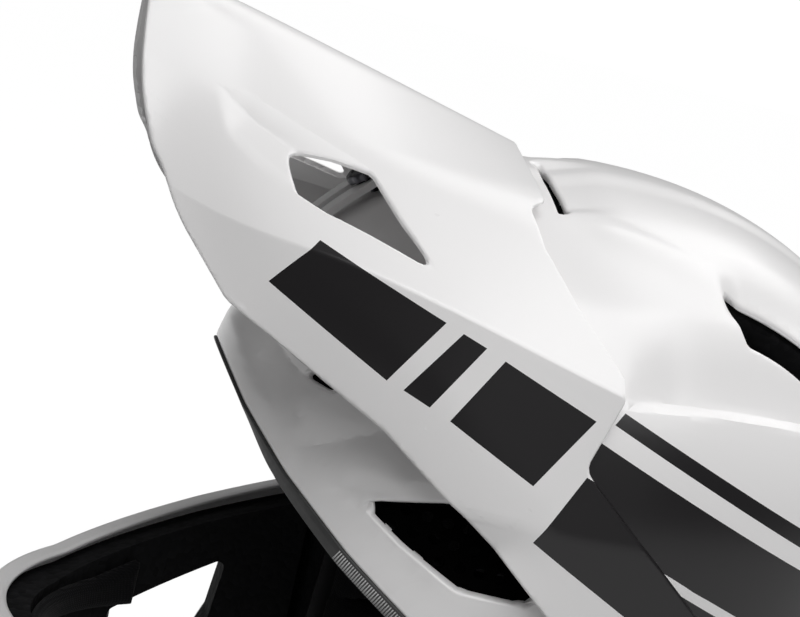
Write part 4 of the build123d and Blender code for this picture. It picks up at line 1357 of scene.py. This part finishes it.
class HELMET_OT_trims(bpy.types.Operator):
    """Rubber trims of the eye port and the lower rim"""

    bl_idname = "helmet.trims"
    bl_label = "Rim trims"

    def execute(self, context):
        rubber_finish = finish_of("rim_rubber")
        path = evenly(eye_port_rim(False), trim_spacing)
        side, up = rim_frame(path)
        lap, wall = trim_edge_lap, shell_wall
        bead = trim_bead + (trim_low_bead - trim_bead) * smooth_step((trim_bead_top - path[:, 2]) / 14)
        outline = [(lap, -0.5), (lap - 0.3, 0.35), (0, 0.5), (-0.35, 0.4), (-0.95, -0.3), (-1, -1.6),
                   (-0.9, -wall - 0.4), (-0.4, -wall - 1.0), (trim_lap - 1, -wall - 1.0),
                   (trim_lap, -wall - 0.4)]
        profile = rounded(outline, 0.3, 4)
        inwards = np.where(profile[:, 0] < 0, bead[:, None], 1.0)
        profile = np.stack([profile[:, 0] * inwards, np.broadcast_to(profile[:, 1], inwards.shape)], -1)
        piece = carried("eye_port_rubber", path, side, up, profile)
        finish_piece(piece, "helmet", "rubber_trim", rubber_finish, "eye_port_trim")
        rib = context.scene.helmet_sizes.trim_rib / millimetre
        # the ribs take the paler rubber that paints their highlight
        self.ribs(path, side, up, rib, bead, finish_of("rib_rubber_painted_highlight"))
        self.base(rubber_finish)
        return {"FINISHED"}

    def ribs(self, path, side, up, pitch, bead, material):
        """Fine ribs across the trim's lower run: a row of low half rounds on the bead's outer face. Their
        rubber is the trim's colour made fifteen times paler, a painted highlight on the ribs.
        """
        low = (path[:, 2] < rib_high) & (path[:, 2] > rib_low)
        step = max(int(round(pitch / trim_spacing)), 2)
        chosen = np.nonzero(low)[0][::step]
        run = np.cross(side, up)
        around = np.linspace(0, np.pi, 4)
        ridge = np.stack([np.cos(around) * pitch * 0.36, np.sin(around) * 0.25], -1)
        across = np.outer(bead[chosen], (-0.92, -0.12))
        height = np.array([-0.25, 0.35])
        points = (path[chosen, None, None] + side[chosen, None, None] * across[:, :, None, None]
                  + run[chosen, None, None] * ridge[None, None, :, :1]
                  + up[chosen, None, None] * (ridge[None, None, :, 1:] + height[None, :, None, None]))
        index = np.arange(points.size // 3).reshape(points.shape[:3])
        faces = np.stack([index[:, 0, :-1], index[:, 0, 1:], index[:, 1, 1:], index[:, 1, :-1]], -1)
        faces = faces.reshape(-1, 4)
        ends = np.concatenate([index[:, 0], index[:, 1, ::-1]])
        piece = mesh_object("eye_port_ribs", points.reshape(-1, 3), np.concatenate([faces, ends]))
        face_outwards(piece)
        finish_piece(piece, "helmet", "rubber_trim", material)

    def base(self, material):
        """The lower rim's trim: its line lies on the skin a web above the floor."""
        angles = np.linspace(-np.pi, np.pi, 700)[:-1]
        height = np.full(len(angles), 5.0)
        for _ in range(12):
            points = skin_points(angles, rise_at(height))
            height = base_line(points[:, 1])
        path = skin_points(angles, rise_at(height + trim_web))
        run = np.roll(path, -1, 0) - np.roll(path, 1, 0)
        run /= np.linalg.norm(run, axis=1)[:, None]
        out = skin_normal(path)
        side = np.cross(run, out)
        side *= np.sign(side[:, 2])[:, None]
        top = base_trim_height - trim_web
        wall = shell_wall
        outline = [(top, 0.0), (top - 0.6, 0.8), (top - 2, 1.0), (0, 1.0), (-trim_web, 0.2),
                   (-trim_web, -wall - 0.2), (0, -wall - 1.0), (top - 2, -wall - 1.0), (top, -wall - 0.3)]
        piece = carried("base_rubber", path, side, out, rounded(outline, 0.5, 4), closed_path=True)
        finish_piece(piece, "helmet", "rubber_trim", material, "base_trim")


class HELMET_OT_liners(bpy.types.Operator):
    """Moulded foam liners"""

    bl_idname = "helmet.liners"
    bl_label = "Foam liners"

    def execute(self, context):
        def keep(points):
            holes = np.max([
                vents_depth(points),
                eye_port_depth(points, trim_lap + piece_gap),
                under_base_depth(points, liner_base_rise),
                np.minimum(-cheek_line - points[:, 1], liner_chin_top - points[:, 2]),
            ], axis=0)
            return -holes

        corners, faces = cut_skin(np.linspace(-np.pi, np.pi, 221), np.linspace(-1.2, np.pi / 2, 91), keep,
                                  (liner_edge_roll / 4, liner_edge_roll))
        flat = on_skin(corners)
        edge = rolled(np.maximum(keep(flat), 0), liner_edge_roll)
        outer = skin_points(corners[:, 0], corners[:, 1], liner_inset + shell_relief(flat) + edge)
        inner = skin_points(corners[:, 0], corners[:, 1], liner_inset + liner_thickness - edge)
        outer, faces, inner = joined(outer, faces, inner)
        faces = outward_faces(outer, faces)
        piece = mesh_object("impact_foam", *walled(outer, inner, faces))
        soften(piece, 40)
        finish_piece(piece, "helmet", "foam", finish_of("bead_foam"), "impact_liner")
        return {"FINISHED"}


def pad_on_skin(name, keep, low, high, columns, rows, outside, thickness, edge, node, channels=None):
    """A pad that lies on the foam: its back follows the skin at one depth, and its front swells over a
    quarter ellipse from the outline and dips along its sewn channels."""
    corners, faces = cut_skin(np.linspace(low[0], high[0], columns), np.linspace(low[1], high[1], rows), keep)
    flat = on_skin(corners)
    inside = np.maximum(keep(flat), 0)
    near = np.clip(1 - inside / edge, 0, 1)
    swell = np.sqrt(1 - near**2)
    if channels is not None:
        swell = swell * (1 - 0.45 * channels(flat))
    back = skin_points(corners[:, 0], corners[:, 1], outside + 0.25 * thickness * (1 - np.sqrt(1 - near**2)))
    front = skin_points(corners[:, 0], corners[:, 1], outside + thickness * (0.25 + 0.75 * swell))
    front = np.where((inside <= 1e-6)[:, None], back, front)
    points = np.concatenate([back, front])
    faces = np.concatenate([faces, faces[:, ::-1] + len(back)])
    points, faces = joined(points, faces)
    piece = mesh_object(name, points, faces)
    face_outwards(piece)
    piece.data.shade_smooth()
    # every pad takes the black knit darkened as painted shade
    finish_piece(piece, "helmet", "pad_fabric", finish_of("pad_knit_and_painted_shade"), node)
    return piece


class HELMET_OT_pads(bpy.types.Operator):
    """Comfort pads, cheek pads, neck roll and chin pad"""

    bl_idname = "helmet.pads"
    bl_label = "Comfort pads"

    def execute(self, context):
        self.crown()
        self.brow()
        self.nape()
        self.cheeks()
        self.neck()
        self.chin()
        return {"FINISHED"}

    def crown(self):
        def keep(points):
            outline = depth_inside(points[:, :2], rounded(top_points(crown_pad_shares), pad_radius))
            window = depth_inside(plan_half(points), rounded(top_points(crown_window_shares), pad_radius))
            return np.min([outline, -window, points[:, 2] - shell_equator - crown_rise / 2], axis=0)

        pad_on_skin("crown_cushion", keep, (-np.pi, 0.45), (np.pi, np.pi / 2), 241, 90, pad_inset,
                    pad_thickness, 6.0, "crown_pad")

    def brow(self):
        def keep(points):
            flat = np.stack([points[:, 0], points[:, 2]], -1)
            outline = depth_inside(flat, rounded(front_points(brow_pad_shares), pad_radius))
            crown = depth_inside(points[:, :2], rounded(top_points(crown_pad_shares), pad_radius))
            return np.min([outline, -crown, -shell_brow_reach / 4 - points[:, 1]], axis=0)

        def channels(points):
            offset = np.abs((points[:, 0] + 400) % 26 - 13)
            return smooth_step(1 - offset / 2.2)

        pad_on_skin("brow_cushion", keep, (-1.2, 0.2), (1.2, 1.2), 150, 70, pad_inset, pad_thickness, 5.0,
                    "brow_pad", channels)

    def nape(self):
        def keep(points):
            flat = np.stack([points[:, 0], points[:, 2]], -1)
            outline = depth_inside(flat, rounded(front_points(nape_pad_shares), pad_radius))
            return np.minimum(outline, points[:, 1] - shell_back_reach / 3)

        def channels(points):
            offset = np.abs(np.abs(points[:, 0]) - 28)
            return smooth_step(1 - offset / 2.4)

        pad_on_skin("nape_cushion", keep, (2.2, -0.9), (4.1, 0.0), 150, 70, pad_inset, pad_thickness, 5.5,
                    "nape_pad", channels)

    def cheeks(self):
        for sign, word in ((1, "left"), (-1, "right")):
            def keep(points):
                outline = depth_inside(points[:, 1:], rounded(side_points(cheek_pad_shares), cheek_pad_radius))
                return np.minimum(outline, points[:, 0] * sign)

            def channels(points):
                line = points[:, 2] - 68 - (points[:, 1] + 20) * 0.25
                return smooth_step(1 - np.abs(line) / 2.6)

            low, high = ((0.9, -1.2), (2.0, -0.1)) if sign > 0 else ((-2.0, -1.2), (-0.9, -0.1))
            pad_on_skin(f"cheek_cushion_{word}", keep, low, high, 110, 90, pad_inset + cheek_plate_thickness,
                        cheek_pad_thickness, 15.0, f"cheek_pad_{word}", channels)

    def neck(self):
        def keep(points):
            return np.min([
                -under_base_depth(points, 3.0),
                under_base_depth(points, liner_base_rise - piece_gap),
                points[:, 1] - neck_roll_front,
            ], axis=0)

        def channels(points):
            angle = np.arctan2(points[:, 0], points[:, 1])
            return smooth_step(1 - np.abs((angle + 6) % 0.36 - 0.18) / 0.03)

        pad_on_skin("neck_cushion", keep, (1.6, -1.28), (4.68, -0.75), 260, 60, liner_inset + 1.5,
                    neck_roll_thickness, 6.0, "neck_roll", channels)

    def chin(self):
        def keep(points):
            return np.min([
                -eye_port_depth(points, 6.5),
                points[:, 2] - chin_pad_low,
                chin_pad_back - points[:, 1],
            ], axis=0)

        pad_on_skin("chin_cushion", keep, (-0.8, -0.95), (0.8, -0.6), 150, 60, liner_inset + chin_pad_inset,
                    chin_pad_thickness, 4.0, "chin_bar_pad")


def spun(profile, angle, wave=1.0):
    """A profile at each angle round its axis, its radius times a wave."""
    return np.stack([
        profile[:, 0] * np.cos(angle)[:, None] * wave,
        profile[:, 0] * np.sin(angle)[:, None] * wave,
        np.broadcast_to(profile[:, 1], (len(angle), len(profile))),
    ], -1)


def turned(name, profile, plane, steps):
    """A profile of radius and height turned about its axis, then set on a plane (origin, x, y, z)."""
    profile = np.asarray(profile, float)
    angle = np.linspace(0, 2 * np.pi, steps, endpoint=False)
    return placed_ring(name, spun(profile, angle), plane)


def placed_ring(name, flat, plane):
    """A closed tube of points in a plane's own x, y and z, moved to its place."""
    origin, x_axis, y_axis, z_axis = (np.asarray(v, float) for v in plane)
    points = origin + flat[..., :1] * x_axis + flat[..., 1:2] * y_axis + flat[..., 2:] * z_axis
    steps, columns = points.shape[:2]
    index = np.arange(steps * columns).reshape(steps, columns)
    index = np.concatenate([index, index[:1]])
    faces = np.stack([index[:-1, :-1], index[1:, :-1], index[1:, 1:], index[:-1, 1:]], -1).reshape(-1, 4)
    piece = mesh_object(name, points.reshape(-1, 3), faces)
    face_outwards(piece)
    soften(piece, 30)
    return piece


def brace_plane():
    angle = math.radians(brace_screw_angle)
    out = np.array([0, -math.cos(angle), math.sin(angle)])
    return out, np.array([1.0, 0, 0]), np.cross(out, (1.0, 0, 0))


class HELMET_OT_hardware(bpy.types.Operator):
    """Peak screws with ribbed heads"""

    bl_idname = "helmet.hardware"
    bl_label = "Screws"

    def execute(self, context):
        finish = finish_of("black_anodised")
        for sign, word in ((1, "left"), (-1, "right")):
            origin = (sign * pivot_face, pivot_y, pivot_height)
            axis = (sign, 0, 0)
            other = np.cross(axis, (0, 0, 1))
            self.screw(f"peak_knob_{word}", (origin, (0, 0, 1), other, axis), 10.0, 4.2, 3.0, 20.0,
                       f"peak_screw_{word}", f"peak_screw_{word}", finish)
        out, x_axis, y_axis = brace_plane()
        origin = np.array([0, pivot_y, pivot_height]) + out * (brace_radius + brace_thickness + piece_gap)
        self.screw("brace_knob", (origin, x_axis, y_axis, out), 8.0, 3.5, 2.5, 17.0, "brace_screw",
                   "peak_brace_screw", finish)
        return {"FINISHED"}

    def screw(self, name, plane, radius, height, shank, length, body, node, material):
        """A low domed head with a scalloped edge and a coin slot: its radius is a cosine of the angle
        round it, and the slot is a dip across the middle."""
        angle = np.linspace(0, 2 * np.pi, 240, endpoint=False)
        profile = np.array([(0, 0.82), (0.25, 0.82), (0.5, 0.82), (0.62, 0.84), (0.68, 0.98), (0.84, 0.96),
                            (0.95, 0.84), (1.0, 0.6), (1.0, 0.12), (0.96, 0.0), (0.5, 0.0)]) * (radius, height)
        rim = smooth_step((profile[:, 0] / radius - 0.8) / 0.15)
        wave = 1 - 0.05 * (0.5 + 0.5 * np.cos(screw_scallops * angle))[:, None] * rim
        flat = spun(profile, angle, wave)
        top = (profile[:, 0] < radius * 0.6) & (profile[:, 1] > 0.5 * height)
        slot = np.clip(1.6 - np.abs(flat[..., 1]) / 0.9, 0, 1) * top
        flat[..., 2] -= 1.5 * slot
        head = placed_ring(name, flat, plane)
        finish_piece(head, body, "screw_metal", material, node)
        thread = np.linspace(-length, 0, int(length / 0.25) + 1)
        ripple = shank - 0.3 * (0.5 + 0.5 * np.cos(thread * 2 * np.pi / thread_pitch))
        rod = np.column_stack([np.concatenate([[0], ripple, [0]]), np.concatenate([[-length], thread, [0]])])
        bolt = turned(name + "_thread", rod, plane, 24)
        finish_piece(bolt, body, "screw_metal", material, node)


def strap_face(height):
    """The strap's outer face at one height, where its rear edge lies along the foam."""
    return (float(skin_beside(strap_y + strap_width / 2, height, strap_outside)), height)


class HELMET_OT_straps(bpy.types.Operator):
    """Chin straps of woven webbing"""

    bl_idname = "helmet.straps"
    bl_label = "Chin straps"

    def execute(self, context):
        loop_x = float(skin_beside(strap_y, ring_height, strap_outside)) - strap_drop_in
        top = strap_face(strap_top)
        over_ring = (loop_x, ring_height + loop_radius - strap_thickness)
        left = [top, strap_face(ring_height + 2 * loop_radius), over_ring]
        right = [top, strap_face(ring_height), (loop_x, floor_clearance), (-strap_free_end, floor_clearance)]
        for word, sign, corners in (("left", 1, left), ("right", -1, right)):
            line = rounded(np.array(corners), strap_bend_radius, 10, closed=False)
            path = evenly(np.column_stack([line[:, 0] * sign, np.full(len(line), strap_y), line[:, 1]]), 1.5)
            run = np.gradient(path, axis=0)
            run /= np.linalg.norm(run, axis=1)[:, None]
            side = np.tile((0.0, 1.0, 0.0), (len(path), 1))
            out = np.cross(run, side) * sign
            half, deep = strap_width / 2, -strap_thickness
            outline = rounded([(-half, deep), (half, deep), (half, 0), (-half, 0)], 0.9, 4)
            piece = carried(f"webbing_{word}", path, side, out, outline)
            finish_piece(piece, "helmet", "webbing", finish_of("strap_webbing"), f"strap_{word}")
        self.loop(loop_x)
        return {"FINISHED"}

    def loop(self, loop_x):
        """The end of the left strap, sewn round both rings: an oblong sleeve."""
        angle = np.linspace(0, 2 * np.pi, 40, endpoint=False)
        outer = np.stack([np.cos(angle), np.sin(angle)], -1)
        shift = np.where(outer[:, :1] > 0, 0.0, -ring_spacing) * (1, 0)
        ring = outer * loop_radius + shift
        hole = outer * bar_radius + shift
        points = []
        for y in (strap_y - strap_width / 2, strap_y + strap_width / 2):
            for line in (ring, hole):
                place = [line[:, 0] + loop_x, np.full(len(line), y), line[:, 1] + ring_height]
                points.append(np.column_stack(place))
        count = len(angle)
        index = np.arange(4 * count).reshape(4, count)
        index = np.concatenate([index, index[:, :1]], 1)
        faces = []
        for one, two in ((0, 2), (2, 3), (3, 1), (1, 0)):
            faces.append(np.stack([index[one, :-1], index[one, 1:], index[two, 1:], index[two, :-1]], -1))
        uv = np.column_stack([np.tile(angle * 0.003, 4), np.repeat([0, 0, 1, 1], count)])
        piece = mesh_object("webbing_loop", np.concatenate(points), np.concatenate(faces), uv)
        face_outwards(piece)
        soften(piece, 40)
        finish_piece(piece, "helmet", "webbing", finish_of("strap_webbing"), "strap_left")


class HELMET_OT_carried_parts(bpy.types.Operator):
    """Finishes of the frame's own parts that stay in view"""

    bl_idname = "helmet.carried_parts"
    bl_label = "Frame parts"

    def execute(self, context):
        finishes = {
            "chin_bar_liner": "bead_foam",
            "cheek_plate_left": "satin_black", "cheek_plate_right": "satin_black",
            # the brow screens take the black made darker as painted shade
            "brow_screen_left": "screen_black_painted_shade", "brow_screen_right": "screen_black_painted_shade",
            "mouth_grille": "satin_black",
            "peak_nut_left": "plated_steel", "peak_nut_right": "plated_steel", "brace_nut": "plated_steel",
            "strap_anchor_left": "plated_steel", "strap_anchor_right": "plated_steel",
            "ring_outer": "polished_wire", "ring_inner": "polished_wire", "snap_stud": "satin_black",
        }
        for node, finish in finishes.items():
            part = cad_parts[node]
            part.data.materials.clear()
            part.data.materials.append(finish_of(finish))
        return {"FINISHED"}


class HELMET_OT_stage(bpy.types.Operator):
    """Pale floor, soft lights and the camera at the photograph's angle"""

    bl_idname = "helmet.stage"
    bl_label = "Stage"

    def execute(self, context):
        scene = context.scene
        scene.view_settings.view_transform = "Standard"
        self.floor()
        self.world(scene)
        for row in lamps:
            self.lamp(*row)
        self.camera(scene)
        return {"FINISHED"}

    def floor(self):
        places = np.linspace(-floor_half_width, floor_half_width, 3)
        corners, faces = grid(places, places)
        floor = mesh_object("floor", np.column_stack([corners, np.full(len(corners), -floor_drop)]), faces)
        floor.data.materials.append(self.unlit_white())

    def unlit_white(self):
        """White to the camera and in reflections, darkened by the object's shadow."""
        material, tree, shader = new_material("floor_white", (0.28, 0.28, 0.28), 0.9)
        rays = tree.nodes.new("ShaderNodeLightPath")
        seen = combined(tree, "MAXIMUM", rays.outputs["Is Camera Ray"], rays.outputs["Is Glossy Ray"])
        seen = combined(tree, "MAXIMUM", seen, rays.outputs["Is Transmission Ray"])
        glow = tree.nodes.new("ShaderNodeEmission")
        glow.inputs["Strength"].default_value = 1.1
        mix = tree.nodes.new("ShaderNodeMixShader")
        tree.links.new(combined(tree, "MULTIPLY", seen, 0.9), mix.inputs[0])
        tree.links.new(shader.outputs[0], mix.inputs[1])
        tree.links.new(glow.outputs[0], mix.inputs[2])
        tree.links.new(mix.outputs[0], tree.nodes["Material Output"].inputs["Surface"])
        return material

    def world(self, scene):
        world = bpy.data.worlds.new("studio")
        world.use_nodes = True
        scene.world = world
        tree = world.node_tree
        back = tree.nodes["Background"]
        back.inputs["Color"].default_value = (1, 1, 1, 1)
        rays = tree.nodes.new("ShaderNodeLightPath")
        seen = combined(tree, "MAXIMUM", rays.outputs["Is Camera Ray"], rays.outputs["Is Transmission Ray"])
        tree.links.new(spread(tree, seen, 0.2, 1.05), back.inputs["Strength"])

    def lamp(self, name, place, aim, size, power):
        data = bpy.data.lights.new(name, "AREA")
        data.size = size
        data.energy = power
        lamp = bpy.data.objects.new(name, data)
        lamp.location = place
        lamp.rotation_euler = (Vector(aim) - Vector(place)).to_track_quat("-Z", "Y").to_euler()
        bpy.context.scene.collection.objects.link(lamp)

    def camera(self, scene):
        azimuth, elevation = math.radians(camera_azimuth), math.radians(camera_elevation)
        roll = math.radians(camera_roll)
        back = np.array([math.sin(azimuth) * math.cos(elevation), -math.cos(azimuth) * math.cos(elevation),
                         math.sin(elevation)])
        level = np.array([math.cos(azimuth), math.sin(azimuth), 0.0])
        upright = np.cross(back, level)
        right = level * math.cos(roll) + upright * math.sin(roll)
        up = -level * math.sin(roll) + upright * math.cos(roll)
        data = bpy.data.cameras.new("photo_camera")
        data.sensor_width = sensor_width
        data.lens = camera_focal_pixels / picture_width * sensor_width
        data.clip_start = 0.01
        camera = bpy.data.objects.new("photo_camera", data)
        turn = Matrix(np.stack([right, up, back], 1).tolist())
        camera.matrix_world = Matrix.Translation(Vector(in_metres(camera_place))) @ turn.to_4x4()
        scene.collection.objects.link(camera)
        scene.camera = camera


class HELMET_PT_panel(bpy.types.Panel):
    """Shows the helmet's colours and sizes, with a button for each of its building steps"""

    bl_idname = "HELMET_PT_panel"
    bl_label = "Full-face helmet"
    bl_space_type = "VIEW_3D"
    bl_region_type = "UI"
    bl_category = "Helmet"

    def draw(self, context):
        for group in (context.scene.helmet_colours, context.scene.helmet_sizes):
            for name in group.__annotations__:
                self.layout.prop(group, name)
        for operator in operators:
            self.layout.operator(operator.bl_idname)


operators = (
    HELMET_OT_stage,
    HELMET_OT_shell,
    HELMET_OT_peak,
    HELMET_OT_trims,
    HELMET_OT_liners,
    HELMET_OT_pads,
    HELMET_OT_hardware,
    HELMET_OT_straps,
    HELMET_OT_carried_parts,
)
classes = (HelmetColours, HelmetSizes, *operators, HELMET_PT_panel)


def register():
    for item in classes:
        bpy.utils.register_class(item)
    bpy.types.Scene.helmet_colours = PointerProperty(type=HelmetColours)
    bpy.types.Scene.helmet_sizes = PointerProperty(type=HelmetSizes)


def unregister():
    del bpy.types.Scene.helmet_sizes
    del bpy.types.Scene.helmet_colours
    for item in reversed(classes):
        bpy.utils.unregister_class(item)


def main():
    register()
    for operator in operators:
        group, name = operator.bl_idname.split(".")
        getattr(getattr(bpy.ops, group), name)()


if __name__ == "__main__":
    main()
